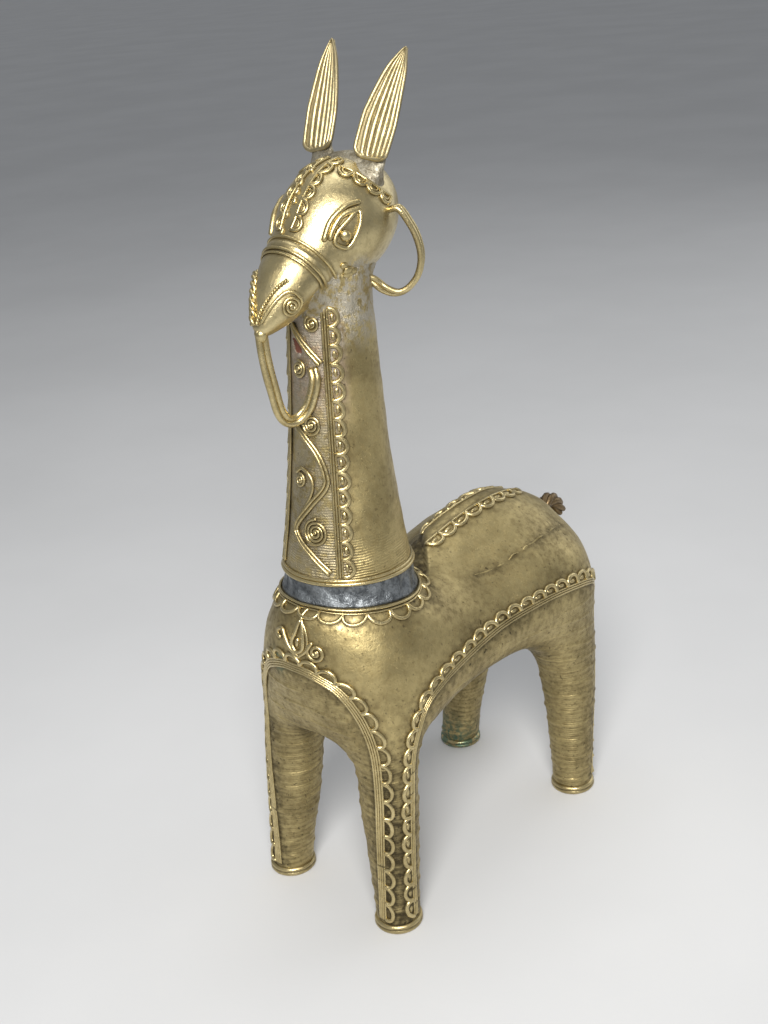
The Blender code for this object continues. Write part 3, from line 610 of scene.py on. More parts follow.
SIDE_ARCH = (
    (51, -79.4, 8), (51, -77, 35), (51, -74.5, 60), (50, -69.6, 94), (50.4, -64, 112), (51.3, -55, 127),
    (51.3, -38.6, 135), (50.2, -16.2, 139.6), (50, 10.2, 143.4), (51.8, 34.7, 144.4), (53.9, 60, 143.6),
    (52.9, 86.5, 138.9), (49, 103, 131), (48, 111, 118), (50, 110, 100), (51, 104, 72), (53, 96, 42),
    (54, 86, 8),
)
FRONT_ARCH = (
    (0, -96, 154), (8, -95, 153.5), (17, -93, 150.5), (25, -90, 146), (32, -87, 138), (38, -84, 125),
    (42, -82.5, 107), (43.5, -84, 81), (43.3, -87, 48), (43, -90.5, 8),
)
REAR_ARCH = (
    (0, 126, 152), (14, 124, 149), (22, 121, 143), (27, 118, 134), (30.5, 117, 120), (34, 115, 100),
    (36.5, 109, 75), (39.5, 100, 45), (41.5, 91, 8),
)
BACK_ROWS = {
    "left": ((3, 7, 181), (4.6, 25.4, 184.8), (6.3, 43, 188.3), (6.8, 56.7, 189.3), (4.8, 75.4, 186.9),
             (1, 91, 181.5)),
    "right": ((-9, 17, 180.5), (-6, 29, 185.6), (-2.5, 41.5, 189), (-1.4, 54, 190.6), (-4.3, 75, 187),
              (-6.5, 88, 182)),
}
SEAM = ((31.4, 13.9, 165.9), (34, 23.8, 165.5), (36, 34.7, 166.4), (36.9, 47.4, 168.3),
        (36.3, 66.9, 169.1), (31.3, 93.1, 165.3))
PETAL = ((5.1, -90.9, 177.8), (2.6, -93.6, 171.3), (0.3, -94.9, 165.3), (3.4, -95.2, 161),
         (7.4, -94.3, 163.6), (7.2, -92.9, 171.3))
PETAL_STALK = ((5.6, -86.5, 182), (4.7, -89.5, 179.6), (5.1, -90.9, 177.4))
PETAL_FOLD = ((5.9, -91.3, 177), (8.9, -92.3, 172), (10, -93.6, 166), (8.6, -94.5, 162))
CHEST_HOOK = ((-9, -93.2, 165.4), (-11.3, -93, 166.6), (-10.8, -92.8, 168.6), (-7.4, -93.3, 170.4),
              (-4.5, -94.5, 166.4), (-0.8, -95.3, 161.6), (4.6, -95.3, 158.6))
CHEST_TENDRIL = ((4.6, -95.3, 158.6), (9.2, -94, 162.4), (12.4, -92.7, 167.2))
CHEST_SPIRAL = (15, -92.8, 162.7)
TAIL_ROOT = (0, 120, 163)
VERDIGRIS = (((-12.5, -94.3, 151), 5.0), ((-46, 70, 6), 14.0))


def body_borders():
    for name, sign in SIDES:
        bordered(f"side_threads_{name}", f"side_border_{name}", THREAD, BODY, sided(SIDE_ARCH, sign),
                 pitch=9.8, height=4.5, rim=1.2, lines=(-0.6, -1.9, -3.2), line_radius=0.52,
                 away=(sign * 45.0, 10.0, 90.0), fill="pad", gap=0.1)
        bordered(f"back_threads_{name}", f"back_border_{name}", THREAD, BODY, BACK_ROWS[name],
                 pitch=10.4, height=4.8, rim=1.25, lines=(-0.4,), line_radius=0.8, toward=(sign, 0, 0),
                 fill="pad", gap=0.1)
    for name, path in (("front", FRONT_ARCH), ("rear", REAR_ARCH)):
        whole = np.vstack([sided(path, -1)[:0:-1], path])
        bordered(f"{name}_threads", f"{name}_border", THREAD, BODY, whole, pitch=10.4, height=4.0, rim=1.15,
                 lines=(-0.6, -1.9, -3.2, -4.5), line_radius=0.66, away=(0.0, path[0][1], 60.0), lean=1.3)


def chest_flower():
    draft = Draft()
    BODY.thread(draft, smooth_path(PETAL, 44, closed=True), 1.15, closed=True)
    BODY.thread(draft, smooth_path(PETAL_STALK, 14), 1.0)
    BODY.thread(draft, smooth_path(PETAL_FOLD, 24), 0.8)
    (spot,), (normal,) = BODY.snap([(3.6, -94, 166)])
    draft.lump(spot, (1.2, 2.6, 0.9), ((1, 0, 0), unit(np.cross(normal, (1, 0, 0))), normal), grime_and_shade=0.05)
    piece("chest_petal", draft, THREAD, "thread_brass", "chest_flower")
    draft = Draft()
    BODY.thread(draft, smooth_path(CHEST_HOOK, 50), 1.15)
    piece("chest_hook", draft, THREAD, "thread_brass", "chest_coil_right")
    draft = Draft()
    BODY.coil(draft, CHEST_SPIRAL, (0, 0, 1), radius=5.3, turns=1.8, thickness=1.05, start=120.0, handed=-1)
    BODY.thread(draft, smooth_path(CHEST_TENDRIL, 24), 1.1)
    piece("chest_spiral", draft, THREAD, "thread_brass", "chest_coil_left")


def casting_flash():
    """The thin ragged seam that the mould left along the flank."""
    draft = Draft()
    count = 60
    spots, normals = BODY.snap(smooth_path(SEAM, count))
    spots[:, 2] += ripple(spots, 4.0, 21)
    taper = np.sin(np.linspace(0.15, math.pi - 0.15, count)) ** 0.5
    draft.tube(spots - normals * 0.3, taper * (0.8 + 0.35 * ripple(spots, 3.0, 22)), normals, grime_and_shade=0.8)
    BODY.laid.extend(map(tuple, spots - (0.0, 0.0, 1.2)))
    piece("casting_flash", draft, CAST, "cast_brass")


def tail():
    """Four strands twisted together."""
    draft = Draft()
    count = 60
    (root,), (normal,) = BODY.snap([TAIL_ROOT])
    middle = [root - normal * 2, root + (0, 7, 2.6), root + (0, 14.5, -0.5), root + (0, 20, -9)]
    path = smooth_path(middle, count)
    side = np.array([[1.0, 0.0, 0.0]] * count)
    up = np.cross(side, unit(headings(path)))
    for k in range(4):
        turn = np.linspace(0, 1.7 * math.pi, count) + k * math.pi / 2
        strand = path + (side * np.cos(turn)[:, None] + up * np.sin(turn)[:, None]) * 2.3
        draft.tube(strand, np.interp(np.linspace(0, 1, count), (0, 0.8, 1), (2.0, 2.1, 1.7)), grime_and_shade=0.7)
    piece("tail_twist", draft, COPPERY, "cast_brass", "tail")


def body_casting():
    draft = Draft()
    points = BODY.points
    x, y, z = points.T
    ridges, zone, grooves = leg_ridges(points)
    uneven = 0.30 * ripple(points, 17.0, 2) + 0.12 * ripple(points, 6.0, 3)
    uneven *= fade(z, 6.0, 14.0)
    ridges *= fade(z, 5.5, 9.0)
    draft.points = points + BODY_NORMALS * (uneven + ridges)[:, None]
    draft.faces = BODY.faces
    beside = BODY.grime_from_threads(halo=0.8)
    # Painted shade: the body's downward-facing surfaces are darkened as if in their own shadow.
    under = fade(BODY_NORMALS[:, 2], -0.2, -0.9) * 0.55
    waist = fade(np.abs(y - 6.0), 52.0, 10.0) * fade(np.abs(x), 18.0, 36.0)
    tarnish = 0.20 * waist * fade(ripple(points, 14.0, 4), -0.8, 0.5) * fade(z, 118.0, 138.0)
    shin = fade(np.abs(x), 41.5, 44.5) * fade(y, -78.0, -82.0) * fade(z, 105.0, 85.0)
    # The dip behind the neck's foot is dented and also darkened with painted shadow. Dirt beside threads,
    # tarnish and the shin mark are real.
    soiled_and_shaded = 0.66 * beside + under + tarnish + 0.35 * shin + 0.8 * BODY_DIP
    draft.grime_and_shade = np.clip(soiled_and_shaded + zone * (0.22 - 0.5 * ridges) + 0.30 * grooves, 0, 1)
    green = 0
    for spot, reach in VERDIGRIS:
        green = green + np.exp(-(np.linalg.norm(points - spot, axis=1) / reach) ** 2)
    piece("body_casting", draft, CAST, "cast_brass", "body_shell",
          extra={"green": np.clip(green, 0, 1), "hatch": np.clip(zone * 0.25 + BODY_DIP, 0, 1)})


# Collar and neck

NECK_FOOT = np.array([0.0, -50.0, 187.0])
NECK_HEAD = np.array([0.0, -42.0, 350.0])
NECK_AXIS = unit(NECK_HEAD - NECK_FOOT)
NECK_TURN = np.array(Vector((0, 0, 1)).rotation_difference(Vector(NECK_AXIS)).to_matrix())
NECK_PROFILE = np.array(
    ((33.6, 0.0), (31.8, 14.0), (29.2, 31.0), (26.4, 55.0), (23.6, 87.0), (21.2, 128.0), (19.6, 150.0)))
PANEL_LEFT, PANEL_RIGHT = 41.0, 42.0
COLLAR_RISE = 6.0
HOLE = (-13.0, 124.0)
HOLE_HALF_WIDTH, HOLE_HALF_HEIGHT = 4.4, 3.9
HOLE_MM_PER_DEGREE = 0.37

NECK_CURVE = smooth_path(NECK_PROFILE, 300)


def neck_point(degrees, height, lift=0.0):
    """Places on the neck, degrees to the figure's left of its front."""
    degrees, height = np.broadcast_arrays(np.asarray(degrees, float), np.asarray(height, float))
    angle = np.radians(degrees)
    radius = np.interp(height, NECK_CURVE[:, 1], NECK_CURVE[:, 0]) + lift
    local = np.stack([np.sin(angle) * radius, -np.cos(angle) * radius, height], axis=-1)
    return NECK_FOOT + local @ NECK_TURN.T


NECK_AROUND, NECK_ALONG = 240, 260
NECK_DEGREES = np.linspace(-180, 180, NECK_AROUND, endpoint=False)
NECK_HEIGHTS = np.linspace(-3.0, 150.0, NECK_ALONG)
NECK_MESH = np.meshgrid(NECK_DEGREES, NECK_HEIGHTS)


def neck_lift(degrees, height):
    """The panel lies a little below the rest of the neck, and the casting hole goes in."""
    left = fade(degrees, PANEL_LEFT - 1.0, PANEL_LEFT - 4.0)
    right = fade(degrees, 1.0 - PANEL_RIGHT, 4.0 - PANEL_RIGHT)
    panel = left * right * fade(height, 9.0, 12.0) * fade(height, 144.0, 141.0)
    across = (degrees - HOLE[0]) * HOLE_MM_PER_DEGREE / HOLE_HALF_WIDTH
    along = (height - HOLE[1] + 0.12 * (degrees - HOLE[0])) / HOLE_HALF_HEIGHT
    hole = fade(np.hypot(across, along) + 0.12 * np.sin(degrees * 0.6 + height), 1.1, 0.9)
    return -0.55 * panel - 0.7 * hole - 4.0 * fade(height, 8.0, 5.5), panel, hole


NECK = Skin(neck_point(*NECK_MESH).reshape(-1, 3), grid_faces(NECK_ALONG, NECK_AROUND))


def neck_casting():
    degrees, heights = (m.reshape(-1) for m in NECK_MESH)
    sunk, panel, hole = neck_lift(degrees, heights)
    smooth = NECK.points
    uneven = 0.22 * ripple(smooth, 15.0, 31) + 0.08 * ripple(smooth, 5.0, 32)
    flat = NECK_FOOT + np.outer((smooth - NECK_FOOT) @ NECK_AXIS, NECK_AXIS)
    draft = Draft()
    draft.points = smooth + unit(smooth - flat) * (sunk + uneven)[:, None]
    draft.faces = NECK.faces
    beside = NECK.grime_from_threads(halo=0.9)
    draft.grime_and_shade = np.clip(0.62 * beside * (1 - 0.4 * panel), 0, 1)
    foot = fade(heights, 34.0, 14.0) * (1 - panel)
    blush = fade(heights, 78.0, 110.0) * fade(np.abs(degrees - 5.0), 62.0, 44.0)
    beyond = fade(np.abs(degrees), 42.0, 56.0)
    flux = 0.85 * fade(heights, 116.0, 138.0) * beyond
    flux += (0.35 + 0.25 * fade(heights, 95.0, 120.0)) * (1 - beyond)
    hatch = panel * (0.12 + 0.3 * fade(heights, 45.0, 25.0)) + 0.5 * foot
    skin = piece("neck_casting", draft, CAST, "cast_brass", "neck_shell",
                 extra={"hatch": np.clip(hatch, 0, 1), "blush": blush, "flux": np.clip(flux, 0, 1)})
    skin.data.materials.append(CLAY)
    inside = hole > 0.5
    for face in skin.data.polygons:
        if all(inside[v] for v in face.vertices):
            face.material_index = 1


COMMA = ((-5.4, -72, 249.2), (-2.1, -72.2, 251.6), (2.7, -72.5, 249.6), (5.1, -72.9, 245.2),
         (4.1, -74, 238.9), (-0.5, -75.7, 230.8))
WAVE = np.array(((-14, 85), (16, 73), (27, 62), (25, 55), (7, 45), (-12, 33), (-6, 27), (9, 21), (28, 12.5)))
BAR = ((-6.8, -63, 321.6), (1.6, -64, 313), (9.7, -63.7, 304.9))
NECK_COILS = (((6.4, -63.3, 323.5), -1, 4.2), ((-2.6, -66.3, 300.9), 1, 4.5), ((4.6, -69, 274.3), -1, 5.7),
              ((-3.3, -73, 245.4), 1, 3.6), ((7.1, -76.5, 220.4), -1, 7.0))
COMMA_COIL = 4


def neck_ornament():
    for (name, sign), angle in zip(SIDES, (PANEL_LEFT, PANEL_RIGHT)):
        edge = neck_point(angle * sign, np.array([10.5, 40.0, 80.0, 120.0, 143.0]))
        bordered(f"neck_threads_{name}", f"neck_border_{name}", THREAD, NECK, edge,
                 pitch=8.8, height=4.4, rim=1.25, lines=(-0.6, -1.9, -3.2), line_radius=0.68,
                 toward=(sign, 0, 0), fill="pad", gap=0.1)
    wave = smooth_path(neck_point(*WAVE.T), 110)
    for name, node, path in (("neck_wave_threads", "neck_wave", wave),
                             ("neck_bar_threads", "neck_bar", smooth_path(BAR, 24))):
        draft = Draft()
        NECK.pair(draft, path, radius=1.0, spread=1.9)
        piece(name, draft, THREAD, "thread_brass", node)
    for k, (spot, handed, size) in enumerate(NECK_COILS, 1):
        draft = Draft()
        NECK.coil(draft, spot, (0, 0, 1), radius=size, turns=size / 2.05, thickness=0.82, start=90.0,
                  handed=handed)
        if k == COMMA_COIL:
            NECK.thread(draft, smooth_path(COMMA, 40), 0.9)
        piece(f"neck_spiral_{k}", draft, THREAD, "thread_brass", f"neck_coil_{k}")


def collar():
    spokes = spokes_round(120)
    above = NECK_FOOT + (0, 0, 60)
    draft = Draft()
    for height, reach, radius in ((0.7, 33.6, 1.15), (2.5, 33.0, 0.95)):
        path = NECK_FOOT + (spokes * reach + (0, 0, COLLAR_RISE + height)) @ NECK_TURN.T
        draft.tube(path, radius * (1 + 0.06 * ripple(path, 6.0, 41)), spokes @ NECK_TURN.T, closed=True)
    piece("collar_ring_threads", draft, THREAD, "thread_brass", "collar_upper_ring")
    foot = BODY.drop(above + spokes * 35.4) + (0, 0, 1.8)
    head = NECK_FOOT + (spokes * 33.4 + (0, 0, COLLAR_RISE + 0.2)) @ NECK_TURN.T
    rows = []
    for share in np.linspace(0, 1, 14):
        row = head * (1 - share) + foot * share - spokes * math.sin(math.pi * share)
        rows.append(row + spokes * (0.5 * ripple(row, 4.0, 42) * math.sin(math.pi * share))[:, None])
    inner = [row - spokes * 6.0 for row in (rows[-1] - (0, 0, 4.0), rows[0])]
    draft = Draft()
    draft.ring(rows + inner, 0.3)
    piece("collar_solder_band", draft, SOLDER, "solder", "collar_solder")
    draft = Draft()
    for reach, radius, rise in ((35.6, 0.8, 2.0), (36.6, 0.6, 0.9)):
        BODY.thread(draft, BODY.drop(above + spokes * reach), radius, closed=True, lift=rise)
    piece("collar_lower_threads", draft, THREAD, "thread_brass", "collar_lower_ring")
    bordered("collar_loops", "collar_scallops", THREAD, BODY, BODY.drop(above + spokes * 36.9),
             pitch=12.4, height=5.0, rim=1.1, away=NECK_FOOT, closed=True)


# Head

HEAD_RINGS = np.array((
    (-5.6, 385.4, 0.3), (-7.0, 384.0, 9.0), (-9.5, 381.5, 15.5), (-16.0, 377.0, 21.8), (-24.5, 371.5, 26.2),
    (-34.0, 365.5, 27.4), (-44.5, 359.5, 25.0), (-54.5, 353.0, 20.2), (-60.0, 350.0, 17.6),
    (-62.0, 348.5, 17.6), (-70.0, 342.0, 16.0), (-80.0, 334.0, 11.8), (-86.5, 328.8, 7.4),
    (-90.0, 326.0, 4.2), (-91.6, 324.8, 0.3),
))
HEAD_DIP = np.array([0.0, -0.817, -0.577])
HEAD_CROWN = np.array([0.0, -0.577, 0.817])
HEAD_AROUND, HEAD_ALONG = 160, 190
HEAD_CURVE = smooth_path(HEAD_RINGS, HEAD_ALONG)


def head_spokes(degrees):
    """Directions round the head's axis, degrees from the crown to the figure's left."""
    angle = np.radians(degrees)
    return np.outer(np.sin(angle), (1.0, 0.0, 0.0)) + np.outer(np.cos(angle), HEAD_CROWN)


def head_ring(ring, degrees):
    """Places round the head, ring counting along HEAD_RINGS."""
    y, z, r = (np.interp(ring, np.arange(len(HEAD_RINGS)), HEAD_RINGS[:, k]) for k in range(3))
    return np.array([0.0, y, z]) + head_spokes(degrees) * r


def head_rows():
    degrees = np.linspace(0, 360, HEAD_AROUND, endpoint=False)
    spokes = head_spokes(degrees)
    below = fade(np.cos(np.radians(degrees)), 0.2, -0.6)
    rows = []
    for y, z, r in HEAD_CURVE:
        thin = 1 - 0.15 * fade(y, -56.0, -68.0) * below
        rows.append(np.array([0.0, y, z]) + spokes * (r * thin)[:, None])
    return np.array(rows)


HEAD_FACES = [face[::-1] for face in grid_faces(HEAD_ALONG, HEAD_AROUND)]
HEAD = Skin(head_rows().reshape(-1, 3), HEAD_FACES, lift=0.5)
NODULES = (((17.9, -47.4, 344.4), 3.2), ((19.4, -48.8, 347.0), 2.5), ((19.6, -45.0, 345.2), 2.3),
           ((20.0, -51.6, 350.0), 1.7), ((16.6, -49.4, 342.9), 2.0))


def head_casting():
    smooth = HEAD.points
    along = (smooth - (0, -61.0, 349.2)) @ HEAD_DIP
    lip = 0.6 * np.exp(-((along - 0.4) / 2.4) ** 2) - 0.35 * np.exp(-((along - 4.6) / 1.2) ** 2)
    uneven = 0.16 * ripple(smooth, 13.0, 51) + 0.05 * ripple(smooth, 4.0, 52)
    centre = np.repeat(HEAD_CURVE[:, :2], HEAD_AROUND, axis=0)
    spoke = unit(smooth - np.column_stack([0 * centre[:, 0], centre]))
    draft = Draft()
    draft.grid((smooth + spoke * (lip + uneven)[:, None]).reshape(HEAD_ALONG, HEAD_AROUND, 3), 0.0)
    draft.grime_and_shade = np.clip(0.58 * HEAD.grime_from_threads(reach=0.9), 0, 1)
    near_jaw, far_jaw, crown = (np.linalg.norm(smooth - spot, axis=1) for spot in
                                ((14.0, -42.0, 345.0), (-14.0, -42.0, 345.0), (0.0, -22.0, 393.0)))
    flux = np.maximum(fade(np.minimum(near_jaw, far_jaw), 15.0, 6.0), 0.7 * fade(crown, 16.0, 7.0))
    piece("head_casting", draft, POLISHED, "cast_brass", "head_shell", extra={"flux": flux})
    draft = Draft()
    for k, (place, size) in enumerate(NODULES):
        spot, axes = HEAD.seat(place, (0, 0, 1))
        draft.lump(spot + axes[2] * 0.5, (size * 1.15, size, size * 0.5), axes, seed=k, rough=0.25)
    piece("cheek_nodules", draft, FACE, "braze")


def rope(draft, skin, path, radius, turns):
    """Two threads twisted together along a path on a casting."""
    spots, normals = skin.snap(path)
    side = unit(np.cross(headings(spots), normals))
    for k in range(2):
        turn = np.linspace(0, 2 * math.pi * turns, len(spots)) + k * math.pi
        strand = spots + normals * (radius * (0.6 + 0.85 * np.sin(turn)))[:, None]
        draft.tube(strand + side * (radius * 0.85 * np.cos(turn))[:, None], radius, grime_and_shade=0.4)
    skin.laid.extend(map(tuple, spots))


FACE_ROW = ((3.2, -31, 394), (3.2, -38, 392.6), (3.6, -46, 389), (4, -54, 383), (4.2, -61, 374),
            (3.6, -66, 367.6))
POLL_ROW = ((9, -37, 391), (15.5, -34.5, 388.6), (20.8, -31, 384), (23.2, -26, 379), (23.4, -20.5, 375.5))
BROW_ROWS = (
    ((17.1, -59.7, 363.8), (18.2, -55.2, 371.2), (20.6, -47.6, 376.3), (23.2, -41.6, 377.5)),
    ((18.6, -57.4, 364), (19.5, -54.9, 368.5), (21, -49.8, 373.1), (23.9, -42.7, 374.6)),
)
EYE = ((23.7, -43, 374), (21.8, -49, 370), (20.2, -54, 365.8), (20.1, -55.9, 361.4), (22.4, -50.7, 358.6),
       (24.6, -46.4, 363.6), (24.7, -43.4, 369.2))
NOSTRIL_TAIL = ((13.6, -76.5, 341.3), (12.9, -78, 343), (10.9, -80.5, 343.5), (9.1, -83.5, 341.7),
                (6.7, -86.9, 338.1), (4.7, -89.4, 334.3), (3.2, -91, 331.2))
NOSE_ROPE = ((12.4, -73.5, 348), (9.6, -78.5, 348), (7, -83, 345), (4.4, -87.5, 340), (2.2, -91, 334.5),
             (1.2, -92, 330))
FOREHEAD = ((-2.4, -43, 391), (-2.8, -50.7, 386.6), (-1.4, -55, 383.4), (-0.3, -58.8, 380),
            (-2, -62.6, 374.2), (-1.6, -67.2, 367.7))
EYE_BALL = (21.9, -51.1, 364.2)
EYE_CORNER = ((23.6, -47.5, 367), (23.8, -46.2, 369), (23.7, -45, 371))
NOSTRIL = (12.2, -79.6, 336.9)


def face_side(name, sign):
    for row, guide, lead, pitch, height in (("face", FACE_ROW, (sign, 0, 0), 7.6, 3.7),
                                            ("poll", POLL_ROW, HEAD_DIP, 7.4, 3.9)):
        bordered(f"{row}_threads_{name}", f"{row}_border_{name}", FACE, HEAD, sided(guide, sign), pitch=pitch,
                 height=height, rim=0.95, lines=(-0.4,), line_radius=0.8, toward=lead, fill="arc")
    draft = Draft()
    HEAD.thread(draft, smooth_path(sided(EYE, sign), 48, closed=True), 1.15, closed=True)
    piece(f"eye_wire_{name}", draft, FACE, "thread_brass", f"eye_rim_{name}")
    draft = Draft()
    spot, axes = HEAD.seat(sided(EYE_BALL, sign), HEAD_CROWN)
    draft.lump(spot + axes[2] * 0.8, (2.8, 2.8, 2.2), axes, segments=24, rings=14, grime_and_shade=0.02)
    turns = np.linspace(0, 2 * math.pi, 20, endpoint=False)
    HEAD.laid.extend(map(tuple, spot + 3.0 * np.column_stack([np.cos(turns), np.sin(turns)]) @ axes[:2]))
    HEAD.laid.extend(map(tuple, sided(EYE_CORNER, sign)))
    piece(f"eye_ball_{name}", draft, FACE, "thread_brass", f"eye_bead_{name}")
    draft = Draft()
    for row in BROW_ROWS:
        HEAD.thread(draft, smooth_path(sided(row, sign), 26), 1.45, lift=0.4)
    piece(f"brow_threads_{name}", draft, FACE, "thread_brass", f"brow_{name}")
    draft = Draft()
    HEAD.coil(draft, sided(NOSTRIL, sign), HEAD_CROWN, radius=5.4, turns=2.8, thickness=0.85,
              start=90.0 - sign * 70.0, handed=sign)
    piece(f"nostril_spiral_{name}", draft, FACE, "thread_brass", f"nostril_coil_{name}")
    draft = Draft()
    HEAD.thread(draft, smooth_path(sided(NOSTRIL_TAIL, sign), 40), 0.9)
    first, thick, turns = (1, 0.58, 8.0) if sign > 0 else (0, 1.0, 3.5)
    rope(draft, HEAD, smooth_path(sided(NOSE_ROPE[first:], sign), 120), thick, turns)
    piece(f"nostril_threads_{name}", draft, FACE, "thread_brass", f"nostril_thread_{name}")


def head_ornament():
    for name, sign in SIDES:
        face_side(name, sign)
    draft = Draft()
    for ring, radius in ((7.75, 0.85), (9.2, 0.9), (9.42, 0.6)):
        HEAD.thread(draft, head_ring(ring, np.linspace(-150, 150, 90)), radius)
    piece("noseband_threads", draft, FACE, "thread_brass", "noseband")
    draft = Draft()
    for k, place in enumerate(FOREHEAD):
        spot, axes = HEAD.seat(place, -HEAD_DIP)
        draft.lump(spot + axes[2] * 0.2, (1.25, 2.1, 1.1), axes, seed=k, rough=0.2, grime_and_shade=0.05)
        HEAD.laid.append(tuple(spot))
    piece("forehead_beads", draft, FACE, "thread_brass")
    draft = Draft()
    draft.lump((0, -89.8, 324.6), (3.3, 3.0, 4.0), np.eye(3), seed=5, rough=0.3, segments=24, rings=14,
               grime_and_shade=0.1)
    piece("muzzle_knob", draft, FACE, "thread_brass")


def jaw_fillet():
    """The concave fillet of braze between the neck's upper end and the underside of the head."""
    degrees = np.linspace(-180, 180, 120, endpoint=False)
    ragged = 138.0 + 2.5 * ripple(neck_point(degrees, 139.0), 6.0, 64)
    on_neck = neck_point(degrees, ragged, 0.12)
    corner = neck_point(degrees, 150.0, 0.6)
    on_head, normals = HEAD.snap(neck_point(degrees, 153.0, 12.5))
    on_head = on_head - normals * 0.45
    climb = np.sum((on_head - on_neck) * normals, axis=1) / np.sum((corner - on_neck) * normals, axis=1)
    corner = on_neck + (corner - on_neck) * np.clip(climb, 0.3, 1.6)[:, None]
    rows = fillet(on_neck, corner, on_head, 16, NECK_HEAD,
                  lambda row: 0.5 * ripple(row, 5.0, 61) + 0.25 * ripple(row, 1.8, 62))
    core = [neck_point(degrees, height, -4.0) for height in (152.0, 139.0)]
    draft = Draft()
    draft.ring(rows + core, 0.15)
    flux = np.full(len(draft.points), 0.85)
    piece("jaw_braze_fillet", draft, CAST, "braze", "jaw_braze", extra={"flux": flux})


# Ears and loops

EAR_LEAF = np.array(
    ((0.0, 4.0), (0.02, 7.4), (0.06, 9.2), (0.15, 10.0), (0.33, 9.9), (0.5, 8.7), (0.62, 7.5), (0.8, 5.3),
     (0.92, 2.6), (1.0, 0.3)))
EARS = (("left", 1.0, 17.2, -1.6, 5.0), ("right", -1.0, 16.4, 1.6, -3.0))
EAR_CUP = 1.6 / 9.0
EAR_RIBS = (-0.66, -0.33, 0.0, 0.33, 0.66)


def ear(name, sign, reach, rise, bow):
    """A cupped leaf with a rim thread, ribs inside, and a mound of braze at its root."""
    root = np.array([sign * reach, -23.5, 395.0 + rise])
    tip = np.array([sign * 23.5, -0.5, 442.8 + 1.4 * rise])
    axis = unit(tip - root)
    across = np.array([1.0, 0.1 * sign, 0.0])
    across = unit(across - axis * axis.dot(across))
    rear = np.cross(axis, across)
    u = np.linspace(-1, 1, 25)
    rows, rims, spine = [], [], []
    for t, wide in smooth_path(EAR_LEAF, 60):
        middle = root + (tip - root) * t - (0, bow * t * (1 - t), 0)
        flat = middle + np.outer(u * wide, across)
        cup = -EAR_CUP * u**2 * wide
        front = flat + np.outer(cup - 0.6, rear)
        back = flat + np.outer(cup + 0.7 + 0.9 * (1 - u**2), rear)
        rows.append(np.vstack([front, back[::-1]]))
        rims.append((front[0], front[-1]))
        spine.append((middle, wide))
    draft = Draft()
    draft.grid(rows, np.concatenate([np.clip(0.55 - 0.5 * np.abs(u), 0, 1), np.full(25, 0.15)]))
    outline = np.array([a for a, _ in rims] + [b for _, b in reversed(rims)])
    outline = smooth_path(outline[::3], 140, closed=True)
    slim = 1.05 - 0.6 * fade((outline - root) @ axis, 38.0, 53.0)
    draft.tube(outline - rear * 0.1, slim, np.array([-rear] * len(outline)), closed=True)
    for share in EAR_RIBS:
        rib = []
        for middle, wide in spine[3:-3:4]:
            place = middle + across * share * wide - rear * (EAR_CUP * share**2 * wide + 0.45)
            rib.append((*place, 0.145 * wide))
        rib = smooth_path(rib, 50)
        path, thick = rib[:, :3], rib[:, 3]
        draft.tube(path, thick * (1 + 0.1 * ripple(path, 5.0, 71)), np.array([-rear] * len(path)), sides=10)
    piece(f"ear_leaf_{name}", draft, LEAF, "cast_brass", f"ear_{name}")
    turns = np.linspace(0, 2 * math.pi, 48, endpoint=False)
    wide, deep = np.outer(np.cos(turns), across), np.outer(np.sin(turns), rear)
    low, normals = HEAD.snap(root - axis * 7.0 + rear * 1.5 + (wide * 1.5 + deep) * 8.5)
    high = root + rear * 1.2 + axis * 4.0 + wide * 6.6 + deep * 1.7
    bend = root + rear * 1.2 - axis * 4.5 + wide * 7.26 + deep * 3.0
    draft = Draft()
    draft.grid(fillet(low - normals * 0.6, bend, high, 14, root, lambda row: 0.5 * ripple(row, 2.6, 72)), 0.2)
    piece(f"ear_braze_mound_{name}", draft, FLUX, "braze", f"ear_braze_{name}")


def ears():
    for details in EARS:
        ear(*details)
    draft = Draft()
    draft.lump((0, -21.5, 388.5), (20.0, 8.5, 8.6), np.eye(3), seed=73, rough=0.5, segments=48, rings=24)
    piece("crown_mound", draft, FLUX, "braze")


def double_thread(draft, path, facing, radius, spread):
    """Two round threads fused side by side into a flat strand whose broad face looks along facing."""
    ahead = unit(headings(path))
    across = unit(np.cross(ahead, facing))
    up = unit(np.cross(across, ahead))
    for k, sign in enumerate((-0.5, 0.5)):
        strand = path + across * spread * sign
        draft.tube(strand, radius * (1 + 0.06 * ripple(strand, 6.0, 81 + k)), up, sides=12, grime_and_shade=0.7)


CHEEK_BOW = ((33, -18, 364), (34.8, -16, 357.5), (35.4, -14.6, 350.5), (34.9, -14.8, 344), (32.8, -16, 337.4),
             (29.2, -19, 332.4), (25.2, -22.6, 330.8), (21.3, -26.6, 333), (17.5, -30, 337.5), (13, -34, 341))
REIN = ((0, -89.8, 326), (0, -89.2, 313), (0, -86.8, 298), (0, -84, 285), (0, -79.5, 279), (1.2, -74, 278.6),
        (4, -69.6, 283), (6.4, -67.6, 289.7), (7.7, -66.2, 296.6), (6.3, -65.4, 301.4))


def loops():
    for name, sign in SIDES:
        (top,), (normal,) = HEAD.snap([(sign * 25.4, -22, 370.5)])
        path = smooth_path([top - normal, top + normal * 4, *sided(CHEEK_BOW, sign)], 80)
        draft = Draft()
        double_thread(draft, path, path - (0, -30, 352), radius=1.5, spread=2.5)
        piece(f"cheek_strap_{name}", draft, THREAD, "thread_brass", f"cheek_loop_{name}")
    count = 110
    turn = np.interp(np.linspace(0, 1, count), (0, 0.55, 0.8, 1), (0, 0, 1, 1))[:, None]
    facing = (1 - turn) * (1.0, -0.4, 0.0) + turn * (0.3, -1.0, 0.1)
    draft = Draft()
    double_thread(draft, smooth_path(REIN, count), facing, radius=1.75, spread=2.8)
    piece("rein_strap", draft, THREAD, "thread_brass", "rein_loop")


